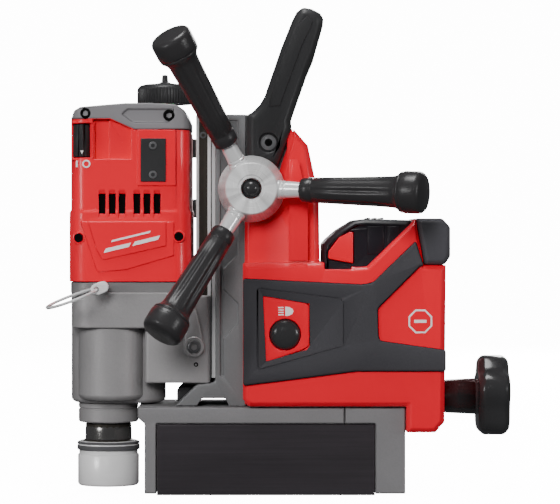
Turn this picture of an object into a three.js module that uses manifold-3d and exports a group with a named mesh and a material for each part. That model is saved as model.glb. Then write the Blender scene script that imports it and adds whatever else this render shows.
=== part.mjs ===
// Magnetic drill press: a battery powered drill on a magnet base, in millimetres, +Z up.
// The origin is the centre of the magnet's bottom face. -X is the drill, +X the battery and the
// magnet knob, and -Y the side of the feed levers. "near" pieces lie at -Y, "far" pieces at +Y.
import * as THREE from "three";
import { mergeVertices } from "three/addons/utils/BufferGeometryUtils.js";
import Module from "manifold-3d";

const wasm = await Module();
wasm.setup();

// ---------------------------------------------------------------- driving dimensions (mm)

const CLEAR = 0.3; // gap that any two touching pieces keep
const RUN = 0.35; // gap round a piece that moves

// Magnet base
const MAGNET_LENGTH = 147;
const MAGNET_WIDTH = 84;
const MAGNET_HEIGHT = 47.9;
const MAGNET_AXIS_Z = 26; // axis of the turning magnet
const MAGNET_BORE_R = 18;
const PLATE_THICK = 11.4; // castings on top of the magnet
const NOSE_LENGTH = 13; // casting in front of the magnet
const FRONT_LEG = 8; // thickness of the casting's front leg
const REAR_LEG = 20.3;
const REAR_SEAM = 20.5; // from the magnet's rear end forward to the joint between the castings
const LEG_LIFT = 1; // the legs stay this clear of the work

// Column
const COLUMN_FRONT = -33.9;
const COLUMN_STEP = -13.6; // behind this line the column is narrower, and covered
const COLUMN_REAR = 14;
const COLUMN_HEIGHT = 197; // above the base castings
const COLUMN_HALF = 38;
const COLUMN_HALF_REAR = 34;
const FOOT_FRONT = -61.6;
const FOOT_HEIGHT = 15.3;
const FOOT_SLOPE = 13.8;
const CHANNEL_HALF = 12.5; // channel for the rack
const STRAP_X = -35.3; // slot through the foot for a safety strap
const STRAP_WIDTH = 16;
const STRAP_HEIGHT = 5.2;
const WAY_THICK = 2.4;
const WAY_WIDTH = 16;

// Feed
const FEED_X = -9.6;
const FEED_Z = 206.3;
const PINION_TEETH = 14;
const PINION_R = 11; // pitch radius
const PINION_WIDTH = 17;
const SHAFT_R = 8;
const BUSH_WALL = 3;
const HUB_R = 22.3;
const HUB_FACE_R = 17;
const HUB_DEPTH = 21;
const HUB_OFFSET = 11; // from the column's side to the back of the hub
const HUB_CAP_R = 6.5;
const LEVER_LENGTH = 123; // from the shaft's axis to the grip's end
const LEVER_TILT = 24; // degrees towards the user
const LEVER_PHASE = -1.7; // degrees
const LEVERS = 3;
const ROD_R = 4.9;
const GRIP_START = 37;
const GRIP_THIN_R = 8;
const GRIP_NECK_R = 10.4;
const GRIP_END_R = 13.9;
const GRIP_CAP_LENGTH = 16;

// Slide and rack
const SLIDE_THICK = 9.6;
const SLIDE_HALF = 26;
const SLIDE_GAP = 1.3; // between the slide and the ways
const TONGUE_THICK = 5;
const RACK_HALF = 8;
const RACK_DROP = 10; // the rack hangs this far below the slide, inside the foot
const RACK_DEPTH = 2.6; // tooth height

// Drill: gear case, spindle, motor
const SPINDLE_X = -108.5;
const MOTOR_X = -94.4;
const LOBE_R = 25.5;
const CASE_FRONT = -132.4;
const CASE_REAR = -50.5;
const CASE_HALF = 43;
const CASE_BOTTOM = 60.7;
const LOBE_TOP = 112.6;
const CASE_TOP = 143.7;
const CASE_WALL = 3.2;
const BRACKET_FRONT = -82;
const BRACKET_REAR = -37.6;
const BRACKET_HALF = 36;
const BRACKET_BOTTOM = 75.3;
const BRACKET_TOP = 134.5;
const COLLAR_R = 20.8;
const COLLAR_HEIGHT = 13.4;
const NECK_R = 15.8;
const SLEEVE_R = 21.1;
const SLEEVE_HEIGHT = 30.5;
const SLEEVE_WALL = 3;
const SLEEVE_BOTTOM = 3.5;
const SHANK_BORE_R = 9.55; // takes a 19 mm cutter shank
const SHANK_BORE_DEPTH = 30;
const SPINDLE_R = 8;
const BEARING_R = 17;
const BEARING_WIDTH = 11;
const COVER_THICK = 5; // plate between the gear case and the motor
const MOTOR_FRONT = -131.9;
const MOTOR_REAR = -51.4;
const MOTOR_HALF = 43;
const MOTOR_TOP = 253.4;
const MOTOR_WALL = 3;
const CAP_DIP = 6.8; // the top cap reaches lower behind the dial
const TOP_CAP_TOP = 264.5;
const STATOR_R = 33;
const STATOR_HOLE_R = 19.8;
const STATOR_HEIGHT = 56;
const ROTOR_R = 19.2;
const FAN_R = 29;
const MOTOR_SHAFT_R = 3;
const MOTOR_BEARING_R = 8;
const MOTOR_BEARING_WIDTH = 6;

// Gear train: module, teeth and width of each mesh
const MESH_MOTOR = { module: 1, pinion: 9, wheel: 35, width: 6 };
const MESH_MIDDLE = { module: 1, pinion: 10, wheel: 38, width: 6 };
const MESH_SPINDLE = { module: 1.25, pinion: 10, wheel: 30, width: 7 };
const MESH_MAGNET = { module: 1.9, teeth: 20, width: 8 };
const BACKLASH = 0.42;
const IDLER_TWO_BEARING = -35; // degrees, from the spindle's axis

// Power dial, locking pin and ring
const DIAL_X = -124.3;
const DIAL_Y = -33.5;
const DIAL_R = 6.2;
const DIAL_BOTTOM = 228;
const DIAL_TOP = 250.2;
const PIN_R = 2.6;
const PIN_HEAD_R = 4;
const PIN_Z = 140.8;
const RING_R = 17.5;
const RING_WIRE_R = 1.1;
const RING_DROOP = 20; // degrees below level
const RING_LEAN = 6; // degrees out of edge-on

// Coolant bottle
const BOTTLE_X = -72.2;
const BOTTLE_R = 20;
const BOTTLE_BOTTOM = 160;
const BOTTLE_SHOULDER = 244;
const BOTTLE_TOP = 268;
const BOTTLE_NECK_R = 9;
const BOTTLE_WALL = 1.6;
const BOTTLE_CAP_R = 20;
const BOTTLE_CAP_HEIGHT = 15;
const BRACKET_RING = 3; // wall of the bottle bracket's rings

// Housing behind the column
const HOUSE_HALF_UP = 41;
const HOUSE_HALF = 50;
const HOUSE_WALL = 3;
const HOUSE_FRONT = -15.4;
const HOUSE_REAR = 121;
const HOUSE_LEDGE = 150.5; // the wide lower part begins here
const HOUSE_DROP = 9.9; // top of the housing, below the column's top
const OVERMOLD_THICK = 2;
const BUTTON_X = 13;
const BUTTON_Z = 108.6;
const BUTTON_R = 10.3;
const PANEL_SINK = 3;

// Battery
const BATTERY_FRONT = 38.4;
const BATTERY_LENGTH = 60; // along X
const BATTERY_HALF = 41;
const BATTERY_BOTTOM = 88;
const BATTERY_TOP = 186.4;
const TERMINAL_HALF = 27;
const RAIL_Y = 22;
const RAIL_WIDTH = 4;
const RAIL_DEPTH = 5;
const LATCH_TRAVEL = 3;

// Magnet knob
const KNOB_Z = 64.3;
const KNOB_R = 28.5;
const KNOB_THICK = 21.5;
const KNOB_LOBES = 5;
const KNOB_SHAFT_R = 11.5;
const DRIVE_SHAFT_R = 4.2; // of both shafts inside
const KNOB_SHAFT_OUT = 24; // shaft length outside the housing

// Carry handle
const HANDLE_HALF = 46;
const HANDLE_SCREW_X = 1.8;
const HANDLE_SCREW_DROP = 19.2; // below the column's top
const HANDLE_RISE = 72.1; // above the column's top
const GRIP_RISE = 46.1; // underside of the grip, above the column's top
const HANDLE_SCREW_R = 3.9;
const HANDLE_SCREW_GRIP = 12; // length inside the column
const POCKET_DEPTH = 2; // pockets in the column's sides

// Work light in the column's foot
const LAMP_HALF = 17;
const LAMP_HEIGHT = 11.5;

// ---------------------------------------------------------------- derived places (mm)

const MAGNET_FRONT = -MAGNET_LENGTH / 2;
const MAGNET_REAR = MAGNET_LENGTH / 2;
const MAGNET_HALF = MAGNET_WIDTH / 2;
const PLATE_BOTTOM = MAGNET_HEIGHT + CLEAR;
const BASE_TOP = PLATE_BOTTOM + PLATE_THICK;
const BASE_FRONT = MAGNET_FRONT - NOSE_LENGTH;
const BASE_REAR = MAGNET_REAR + CLEAR + REAR_LEG;
const COLUMN_BOTTOM = BASE_TOP + CLEAR;
const COLUMN_TOP = COLUMN_BOTTOM + COLUMN_HEIGHT;
const HOUSE_TOP = COLUMN_TOP - HOUSE_DROP;
const HANDLE_SCREW_Z = COLUMN_TOP - HANDLE_SCREW_DROP;
const GRIP_UNDERSIDE = COLUMN_TOP + GRIP_RISE;
const FOOT_TOP = COLUMN_BOTTOM + FOOT_HEIGHT;
const WAY_FRONT = COLUMN_FRONT - CLEAR - WAY_THICK;
const SLIDE_REAR = WAY_FRONT - SLIDE_GAP;
const SLIDE_FRONT = SLIDE_REAR - SLIDE_THICK;
const RACK_PITCH_X = FEED_X - PINION_R;
const HUB_BACK = -COLUMN_HALF - HUB_OFFSET;
const HUB_FACE = HUB_BACK - HUB_DEPTH;
const LEVER_Y = HUB_BACK - HUB_DEPTH * 0.42;
const NECK_TOP = CASE_BOTTOM - CLEAR - COLLAR_HEIGHT;
const NECK_BOTTOM = SLEEVE_BOTTOM + SLEEVE_HEIGHT + RUN;
const BATTERY_REAR = BATTERY_FRONT + BATTERY_LENGTH;
const BOTTLE_Y = MOTOR_HALF + CLEAR + BRACKET_RING + CLEAR + BOTTLE_R;
const MOTOR_BOTTOM = CASE_TOP + CLEAR;
const KNOB_SHAFT_END = HOUSE_REAR + KNOB_SHAFT_OUT;
const DRIVE_X = MAGNET_REAR + 4; // gears between the knob and the turning magnet

// ---------------------------------------------------------------- solids

const DEG = Math.PI / 180;

// The solid of a closed three.js geometry, turned right side out.
function solid(geometry) {
  const flat = geometry.index ? geometry.toNonIndexed() : geometry;
  const bare = new THREE.BufferGeometry().setAttribute("position", flat.getAttribute("position"));
  const merged = mergeVertices(bare, 1e-4);
  const kept = [];
  const index = merged.index.array;
  for (let i = 0; i < index.length; i += 3) {
    const [a, b, c] = [index[i], index[i + 1], index[i + 2]];
    if (a !== b && b !== c && c !== a) kept.push(a, b, c);
  }
  const build = (triangles) => new wasm.Manifold(new wasm.Mesh({
    numProp: 3,
    vertProperties: merged.attributes.position.array,
    triVerts: new Uint32Array(triangles),
  }));
  const made = build(kept);
  if (made.volume() > 0) return made;
  for (let i = 0; i < kept.length; i += 3) [kept[i + 1], kept[i + 2]] = [kept[i + 2], kept[i + 1]];
  return build(kept);
}

function geometryOf(body) {
  const mesh = body.getMesh();
  const geometry = new THREE.BufferGeometry();
  geometry.setAttribute("position", new THREE.BufferAttribute(mesh.vertProperties, 3));
  geometry.setIndex(new THREE.BufferAttribute(mesh.triVerts, 1));
  return geometry;
}

const join = (first, ...rest) => rest.reduce((sum, next) => sum.add(next), first);
const cut = (body, ...tools) => tools.reduce((left, tool) => left.subtract(tool), body);
const common = (first, second) => first.intersect(second);

// Box between two corners.
function box(x0, y0, z0, x1, y1, z1) {
  const geometry = new THREE.BoxGeometry(x1 - x0, y1 - y0, z1 - z0);
  return solid(geometry.translate((x0 + x1) / 2, (y0 + y1) / 2, (z0 + z1) / 2));
}

function shapeOf(outline) {
  return new THREE.Shape(outline.map(([u, v]) => new THREE.Vector2(u, v)));
}

// An outline drawn out by a depth, its two edges cut back by a chamfer.
function drawn(shape, depth, chamfer = 0) {
  return new THREE.ExtrudeGeometry(shape, {
    depth: depth - 2 * chamfer,
    bevelEnabled: chamfer > 0,
    bevelThickness: chamfer,
    bevelSize: chamfer,
    bevelOffset: -chamfer,
    bevelSegments: 1,
  }).translate(0, 0, chamfer);
}

// Outlines in (x, z), (x, y) and (y, z), drawn out along Y, Z and X.
function prismY(outline, y0, y1, chamfer) {
  const shape = shapeOf(outline);
  return solid(drawn(shape, y1 - y0, chamfer).rotateX(90 * DEG).translate(0, y1, 0));
}

function prismZ(outline, z0, z1, chamfer) {
  const shape = shapeOf(outline);
  return solid(drawn(shape, z1 - z0, chamfer).translate(0, 0, z0));
}

function prismX(outline, x0, x1, chamfer) {
  const shape = shapeOf(outline);
  const turn = new THREE.Matrix4().makeBasis(
    new THREE.Vector3(0, 1, 0), new THREE.Vector3(0, 0, 1), new THREE.Vector3(1, 0, 0));
  return solid(drawn(shape, x1 - x0, chamfer).applyMatrix4(turn).translate(x0, 0, 0));
}

// Rectangle with rounded corners, centred on (u, v), as a list of points.
function rounded(u, v, width, height, radius) {
  const steps = radius > 4 ? 5 : 3;
  const [du, dv] = [width / 2 - radius, height / 2 - radius];
  const points = [];
  [[1, -1], [1, 1], [-1, 1], [-1, -1]].forEach(([su, sv], corner) => {
    for (let i = 0; i <= steps; i += 1) {
      const a = (corner - 1 + i / steps) * 90 * DEG;
      const point = [u + su * du + radius * Math.cos(a), v + sv * dv + radius * Math.sin(a)];
      const last = points[points.length - 1] || [Infinity, 0];
      if (Math.hypot(point[0] - last[0], point[1] - last[1]) > 0.05) points.push(point);
    }
  });
  const [first, last] = [points[0], points[points.length - 1]];
  if (Math.hypot(first[0] - last[0], first[1] - last[1]) < 0.05) points.pop();
  return points;
}

const AXES = {
  x: (g) => g.rotateZ(-90 * DEG),
  y: (g) => g,
  z: (g) => g.rotateX(90 * DEG),
};

// A profile of [radius, height] points turned about a line through `at`, along an axis.
function turned(profile, axis, at, segments = 24) {
  const points = profile.map(([r, h]) => new THREE.Vector2(r, h));
  const geometry = AXES[axis](new THREE.LatheGeometry(points, segments));
  return solid(geometry.translate(...at));
}

// Round bar from one height to another along an axis; `at` gives the line.
function bar(axis, at, low, high, radius, segments = 20) {
  return turned([[0, low], [radius, low], [radius, high], [0, high]], axis, at, segments);
}

// Round tube between two heights.
function ring(axis, at, low, high, inner, outer, segments = 24) {
  const profile = [[inner, low], [outer, low], [outer, high], [inner, high], [inner, low]];
  return turned(profile, axis, at, segments);
}

// ---------------------------------------------------------------- gears

const involute = (angle) => Math.tan(angle) - angle;

// Outline of a spur gear with a tooth centred on the angle toothAt.
function gearOutline(teeth, module, toothAt) {
  const pitch = (teeth * module) / 2;
  const base = pitch * Math.cos(20 * DEG);
  const root = pitch - 1.15 * module;
  const tip = pitch + 0.8 * module;
  const half = (Math.PI * module - BACKLASH) / (4 * pitch);
  const halfAt = (r) => half + involute(20 * DEG) - involute(Math.acos(Math.min(1, base / r)));
  const low = Math.max(root, base);
  const flank = [[root, halfAt(low)], [tip, Math.max(halfAt(tip), 0.1 / pitch)]];
  const points = [];
  for (let i = 0; i < teeth; i += 1) {
    const middle = toothAt + (i * 2 * Math.PI) / teeth;
    for (const [r, spread] of flank) points.push([r, middle - spread]);
    for (const [r, spread] of [...flank].reverse()) points.push([r, middle + spread]);
  }
  return points.map(([r, a]) => [r * Math.cos(a), r * Math.sin(a)]);
}

function gearZ(mesh, teeth, at, toothAt, z0) {
  const outline = gearOutline(teeth, mesh.module, toothAt);
  return prismZ(outline.map(([x, y]) => [x + at[0], y + at[1]]), z0, z0 + mesh.width);
}

// Where a shaft lies that meshes at distance ra from a and rb from b.
function meshPoint(a, ra, b, rb) {
  const [dx, dy] = [b[0] - a[0], b[1] - a[1]];
  const d = Math.hypot(dx, dy);
  const along = (ra * ra - rb * rb + d * d) / (2 * d);
  const aside = Math.sqrt(ra * ra - along * along);
  return [a[0] + (along * dx - aside * dy) / d, a[1] + (along * dy + aside * dx) / d];
}

const bearingOf = (from, to) => Math.atan2(to[1] - from[1], to[0] - from[0]);
const spacing = (mesh) => ((mesh.pinion + mesh.wheel) * mesh.module) / 2;

// ---------------------------------------------------------------- the model

const press = new THREE.Group();

function add(name, body, color, roughness = 0.6, metalness = 0) {
  const material = new THREE.MeshStandardMaterial({ color, roughness, metalness });
  const mesh = new THREE.Mesh(geometryOf(body), material);
  mesh.name = name;
  press.add(mesh);
}

const RED = 0xd02a34;
const DARK = 0x3e3d41;
const CAST = 0x77777a;
const BASE_GREY = 0x757475;
const STEEL = 0xc8c8ca;
const BLACK = 0x232326;
const BRONZE = 0xb08a50;

// ---- magnet base

function baseCasting() {
  const seam = MAGNET_REAR - REAR_SEAM;
  const legRear = MAGNET_FRONT - CLEAR;
  const outline = [
    [BASE_FRONT, BASE_TOP], [BASE_FRONT, PLATE_BOTTOM + 4], [legRear - FRONT_LEG, PLATE_BOTTOM],
    [legRear - FRONT_LEG, LEG_LIFT], [legRear, LEG_LIFT], [legRear, PLATE_BOTTOM],
    [seam, PLATE_BOTTOM], [seam, BASE_TOP],
  ];
  return prismY(outline, -MAGNET_HALF, MAGNET_HALF, 0.8);
}

function baseRearCasting() {
  const seam = MAGNET_REAR - REAR_SEAM + CLEAR;
  const legFront = MAGNET_REAR + CLEAR;
  const outline = [
    [seam, BASE_TOP], [seam, PLATE_BOTTOM], [legFront, PLATE_BOTTOM],
    [legFront, LEG_LIFT], [BASE_REAR, LEG_LIFT], [BASE_REAR, BASE_TOP],
  ];
  const pocketR = driveRadius() + MESH_MAGNET.module + 1.5;
  const wide = DRIVE_X - 1;
  const rear = DRIVE_X + MESH_MAGNET.width + 1;
  return cut(
    prismY(outline, -MAGNET_HALF, MAGNET_HALF, 0.8),
    box(wide, -pocketR, MAGNET_AXIS_Z, rear, pocketR, BASE_TOP + 1),
    common(bar("x", [0, 0, MAGNET_AXIS_Z], wide, rear, pocketR, 24),
      box(wide, -pocketR, LEG_LIFT + 3, rear, pocketR, BASE_TOP)),
    box(legFront - 1, -9, MAGNET_AXIS_Z - 9, wide + 1, 9, MAGNET_AXIS_Z + 9),
  );
}

function magnetBody() {
  const block = prismY([
    [MAGNET_FRONT, 0], [MAGNET_REAR, 0], [MAGNET_REAR, MAGNET_HEIGHT], [MAGNET_FRONT, MAGNET_HEIGHT],
  ], -MAGNET_HALF, MAGNET_HALF, 0.6);
  return cut(block, bar("x", [0, 0, MAGNET_AXIS_Z], MAGNET_FRONT + 10, MAGNET_REAR + 1, MAGNET_BORE_R, 22));
}

const driveRadius = () => (KNOB_Z - MAGNET_AXIS_Z) / 2;

// One gear of the magnet drive, its axis along X; both have the same teeth.
function driveGear(axisZ, toothAt) {
  const module = (2 * driveRadius()) / MESH_MAGNET.teeth;
  const outline = gearOutline(MESH_MAGNET.teeth, module, toothAt);
  const rear = DRIVE_X + MESH_MAGNET.width;
  return prismX(outline.map(([y, z]) => [y, z + axisZ]), DRIVE_X, rear);
}

function magnetRotor() {
  const rotorEnd = MAGNET_REAR - 3;
  const at = [0, 0, MAGNET_AXIS_Z];
  return join(
    bar("x", at, MAGNET_FRONT + 12, rotorEnd, MAGNET_BORE_R - RUN, 22),
    bar("x", at, rotorEnd - 1, DRIVE_X + 1, DRIVE_SHAFT_R + 2),
    driveGear(MAGNET_AXIS_Z, 90 * DEG),
  );
}

function magnetKnob() {
  const at = [0, 0, KNOB_Z];
  const shaft = turned([
    [0, DRIVE_X + 2], [DRIVE_SHAFT_R, DRIVE_X + 2], [DRIVE_SHAFT_R, HOUSE_REAR - 8], [KNOB_SHAFT_R, HOUSE_REAR + 3],
    [KNOB_SHAFT_R + 1, KNOB_SHAFT_END], [KNOB_SHAFT_R + 1, KNOB_SHAFT_END + 2], [0, KNOB_SHAFT_END + 2],
  ], "x", at, 22);
  const outline = [];
  const steps = KNOB_LOBES * 6;
  for (let i = 0; i < steps; i += 1) {
    const a = (i / steps) * 2 * Math.PI;
    const dip = 0.5 - 0.5 * Math.cos(KNOB_LOBES * a - 90 * DEG);
    const r = KNOB_R * (1 - 0.17 * dip * dip);
    outline.push([r * Math.cos(a), KNOB_Z + r * Math.sin(a)]);
  }
  const grip = prismX(outline, KNOB_SHAFT_END + 0.5, KNOB_SHAFT_END + 0.5 + KNOB_THICK, 3.5);
  const gap = 180 / MESH_MAGNET.teeth;
  return join(shaft, grip, driveGear(KNOB_Z, (90 + gap) * DEG));
}

// ---- column

function column() {
  const h = COLUMN_HALF;
  const foot = prismY([
    [FOOT_FRONT, COLUMN_BOTTOM], [FOOT_FRONT + FOOT_SLOPE, COLUMN_BOTTOM + FOOT_SLOPE - 0.3],
    [FOOT_FRONT + FOOT_SLOPE + 1.6, FOOT_TOP - 0.7], [COLUMN_FRONT - 4, FOOT_TOP],
    [COLUMN_FRONT - 1.2, FOOT_TOP + 0.8], [COLUMN_FRONT, FOOT_TOP + 3],
    [COLUMN_STEP, FOOT_TOP + 3], [COLUMN_STEP, COLUMN_BOTTOM],
  ], -h, h, 1);
  const front = box(COLUMN_FRONT, -h, COLUMN_BOTTOM, COLUMN_STEP, h, COLUMN_TOP);
  const rear = box(COLUMN_STEP - 1, -COLUMN_HALF_REAR, COLUMN_BOTTOM, COLUMN_REAR, COLUMN_HALF_REAR, COLUMN_TOP);
  const channelRear = FEED_X + PINION_R + 4;
  const channel = box(FOOT_FRONT - 1, -CHANNEL_HALF, COLUMN_BOTTOM + 2, channelRear, CHANNEL_HALF, COLUMN_TOP + 1);
  const bush = SHAFT_R + RUN + BUSH_WALL + CLEAR;
  const bore = bar("y", [FEED_X, 0, FEED_Z], -h - 1, h + 1, bush, 22);
  const lamp = box(FOOT_FRONT - 1, -LAMP_HALF - 1, COLUMN_BOTTOM + 1, FOOT_FRONT + 19, LAMP_HALF + 1, FOOT_TOP + 1);
  const screws = [-1, 1].map((side) => screwHole(side));
  const strap = prismY([
    [STRAP_X - STRAP_WIDTH / 2 - 4, COLUMN_BOTTOM - 1], [STRAP_X + STRAP_WIDTH / 2 + 3, COLUMN_BOTTOM - 1],
    [STRAP_X + STRAP_WIDTH / 2, COLUMN_BOTTOM + STRAP_HEIGHT], [STRAP_X - STRAP_WIDTH / 2, COLUMN_BOTTOM + STRAP_HEIGHT],
  ], -h - 1, h + 1);
  return cut(join(foot, front, rear), channel, bore, lamp, strap, ...ribPockets(), ...screws);
}

// Hole for the carry handle's screw on one side.
function screwHole(side) {
  const inner = COLUMN_HALF_REAR - HANDLE_SCREW_GRIP - 1;
  const [low, high] = side < 0 ? [-COLUMN_HALF - 1, -inner] : [inner, COLUMN_HALF + 1];
  return bar("y", [HANDLE_SCREW_X, 0, HANDLE_SCREW_Z], low, high, HANDLE_SCREW_R + CLEAR, 16);
}

// Shallow pockets on both sides of the column; a zigzag rib is left along their rear edge.
function ribPockets() {
  const front = COLUMN_FRONT + 3.2;
  const deep = COLUMN_STEP - 5;
  const shallow = COLUMN_STEP - 15;
  const top = COLUMN_TOP - 4;
  const low = FOOT_TOP + 5;
  const span = (top - low) / 4.4;
  const outline = [
    [front, low], [shallow, low], [shallow, low + span * 0.65], [deep, low + span * 0.9],
    [deep, low + span * 1.25], [shallow, low + span * 1.5], [shallow, low + span * 1.85],
    [deep, low + span * 2.1], [deep, top], [front, top],
  ];
  return [
    prismY(outline, -COLUMN_HALF - 1, -COLUMN_HALF + POCKET_DEPTH),
    prismY(outline, COLUMN_HALF - POCKET_DEPTH, COLUMN_HALF + 1),
  ];
}

// Hardened strips that the slide runs on, one each side of the channel.
function way(side) {
  const inner = CHANNEL_HALF + 3.2;
  const [y0, y1] = side < 0 ? [-inner - WAY_WIDTH, -inner] : [inner, inner + WAY_WIDTH];
  return box(WAY_FRONT, y0, FOOT_TOP + 3.5, WAY_FRONT + WAY_THICK, y1, COLUMN_TOP);
}

function feedBush(side) {
  const inner = SHAFT_R + RUN;
  const [low, high] = side < 0 ? [-COLUMN_HALF - 2, -CHANNEL_HALF] : [CHANNEL_HALF, COLUMN_HALF + 2];
  return ring("y", [FEED_X, 0, FEED_Z], low, high, inner, inner + BUSH_WALL, 22);
}

// ---- feed shaft, hub and levers

function feedShaft() {
  const at = [FEED_X, 0, FEED_Z];
  const rod = bar("y", at, HUB_BACK + 4, COLUMN_HALF + 6, SHAFT_R, 24);
  const collar = bar("y", at, COLUMN_HALF + 2 + CLEAR, COLUMN_HALF + 6, SHAFT_R + 3, 24);
  const module = (2 * PINION_R) / PINION_TEETH;
  const outline = gearOutline(PINION_TEETH, module, 180 * DEG);
  const teeth = prismY(outline.map(([x, z]) => [x + FEED_X, z + FEED_Z]), -PINION_WIDTH / 2, PINION_WIDTH / 2);
  return join(rod, collar, teeth);
}

// Unit directions of lever i: outwards along the lever, and its two cross directions.
function leverFrame(i) {
  const a = (LEVER_PHASE + (i * 360) / LEVERS) * DEG;
  const t = LEVER_TILT * DEG;
  const along = new THREE.Vector3(Math.cos(a) * Math.cos(t), -Math.sin(t), Math.sin(a) * Math.cos(t));
  const side = new THREE.Vector3(-Math.sin(a), 0, Math.cos(a));
  return new THREE.Matrix4()
    .makeBasis(side, along, new THREE.Vector3().crossVectors(side, along))
    .setPosition(FEED_X, LEVER_Y, FEED_Z);
}

function onLever(i, profile, segments) {
  const points = profile.map(([r, h]) => new THREE.Vector2(r, h));
  return solid(new THREE.LatheGeometry(points, segments).applyMatrix4(leverFrame(i)));
}

function feedHub() {
  const at = [FEED_X, 0, FEED_Z];
  const profile = [
    [SHAFT_R + CLEAR, HUB_BACK], [HUB_R - 1.2, HUB_BACK], [HUB_R, HUB_BACK - 1.5],
    [HUB_R, HUB_BACK - HUB_DEPTH * 0.45], [HUB_FACE_R + 1.5, HUB_FACE + 1.5], [HUB_FACE_R, HUB_FACE],
    [HUB_CAP_R + CLEAR, HUB_FACE], [HUB_CAP_R + CLEAR, HUB_FACE + 6], [0, HUB_FACE + 6],
    [0, HUB_BACK - 8], [SHAFT_R + CLEAR, HUB_BACK - 8], [SHAFT_R + CLEAR, HUB_BACK],
  ];
  let hub = turned(profile, "y", at, 22);
  const seat = 12;
  for (let i = 0; i < LEVERS; i += 1) {
    hub = hub.add(onLever(i, [[0, seat], [ROD_R + 2.6, seat], [ROD_R + 2.6, HUB_R + 1.5], [0, HUB_R + 1.5]], 14));
    hub = hub.subtract(onLever(i, [[0, seat + 2], [ROD_R + CLEAR, seat + 2], [ROD_R + CLEAR, 60], [0, 60]], 14));
  }
  const shaftHole = bar("y", at, HUB_BACK - 8, HUB_BACK + 1, SHAFT_R + CLEAR, 24);
  const capHole = bar("y", at, HUB_FACE - 1, HUB_FACE + 6, HUB_CAP_R + CLEAR, 24);
  return cut(hub, shaftHole, capHole);
}

function hubCap() {
  const r = HUB_CAP_R;
  return turned([
    [0, HUB_FACE + 5.5], [r, HUB_FACE + 5.5], [r, HUB_FACE - 1.5], [r * 0.8, HUB_FACE - 3.6],
    [r * 0.42, HUB_FACE - 5], [0, HUB_FACE - 5.4],
  ], "y", [FEED_X, 0, FEED_Z], 24);
}

const leverRod = (i) => onLever(i, [
  [0, 14 + CLEAR], [ROD_R, 14 + CLEAR], [ROD_R, LEVER_LENGTH - 14], [0, LEVER_LENGTH - 14],
], 14);

// Plastic grip: a collar, a taper, and a bulb with a flat end.
function leverGrip(i) {
  const end = LEVER_LENGTH;
  const neck = end - GRIP_CAP_LENGTH;
  const inner = ROD_R + CLEAR;
  return onLever(i, [
    [inner, GRIP_START], [GRIP_THIN_R - 0.8, GRIP_START], [GRIP_THIN_R, GRIP_START + 1],
    [GRIP_THIN_R + 0.5, GRIP_START + 11], [GRIP_NECK_R, neck - 6], [GRIP_NECK_R + 0.4, neck - 2],
    [GRIP_END_R, neck + 3], [GRIP_END_R, end - 2.5], [GRIP_END_R - 2.5, end], [0, end],
    [0, end - 13.5], [inner, end - 13.5], [inner, GRIP_START],
  ], 18);
}

// ---- slide and rack

function slideBar() {
  const bottom = FOOT_TOP + 0.6;
  const plate = box(SLIDE_FRONT, -SLIDE_HALF, bottom, SLIDE_REAR, SLIDE_HALF, COLUMN_TOP);
  const tongueRear = SLIDE_REAR + TONGUE_THICK;
  const half = CHANNEL_HALF - 1;
  const tongue = box(SLIDE_REAR - 1, -half, bottom, tongueRear, half, COLUMN_TOP);
  return join(plate, tongue);
}

function feedRack() {
  const front = SLIDE_REAR + TONGUE_THICK + CLEAR;
  const pitch = (2 * Math.PI * PINION_R) / PINION_TEETH;
  const bottom = FOOT_TOP + 0.6 - RACK_DROP;
  const tip = RACK_PITCH_X + RACK_DEPTH * 0.45;
  const root = RACK_PITCH_X - RACK_DEPTH * 0.62;
  const slope = Math.tan(20 * DEG);
  const half = (pitch - BACKLASH) / 4;
  const outline = [[front, COLUMN_TOP], [front, bottom], [root, bottom]];
  const first = Math.ceil((bottom + half + 1 - FEED_Z) / pitch - 0.5);
  const last = Math.floor((COLUMN_TOP - half - 1 - FEED_Z) / pitch - 0.5);
  for (let i = first; i <= last; i += 1) {
    const z = FEED_Z + (i + 0.5) * pitch;
    const low = half + (RACK_PITCH_X - root) * slope;
    const high = half - (tip - RACK_PITCH_X) * slope;
    outline.push([root, z - low], [tip, z - high], [tip, z + high], [root, z + low]);
  }
  outline.push([root, COLUMN_TOP]);
  return prismY(outline, -RACK_HALF, RACK_HALF);
}

// ---- gear case

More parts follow.
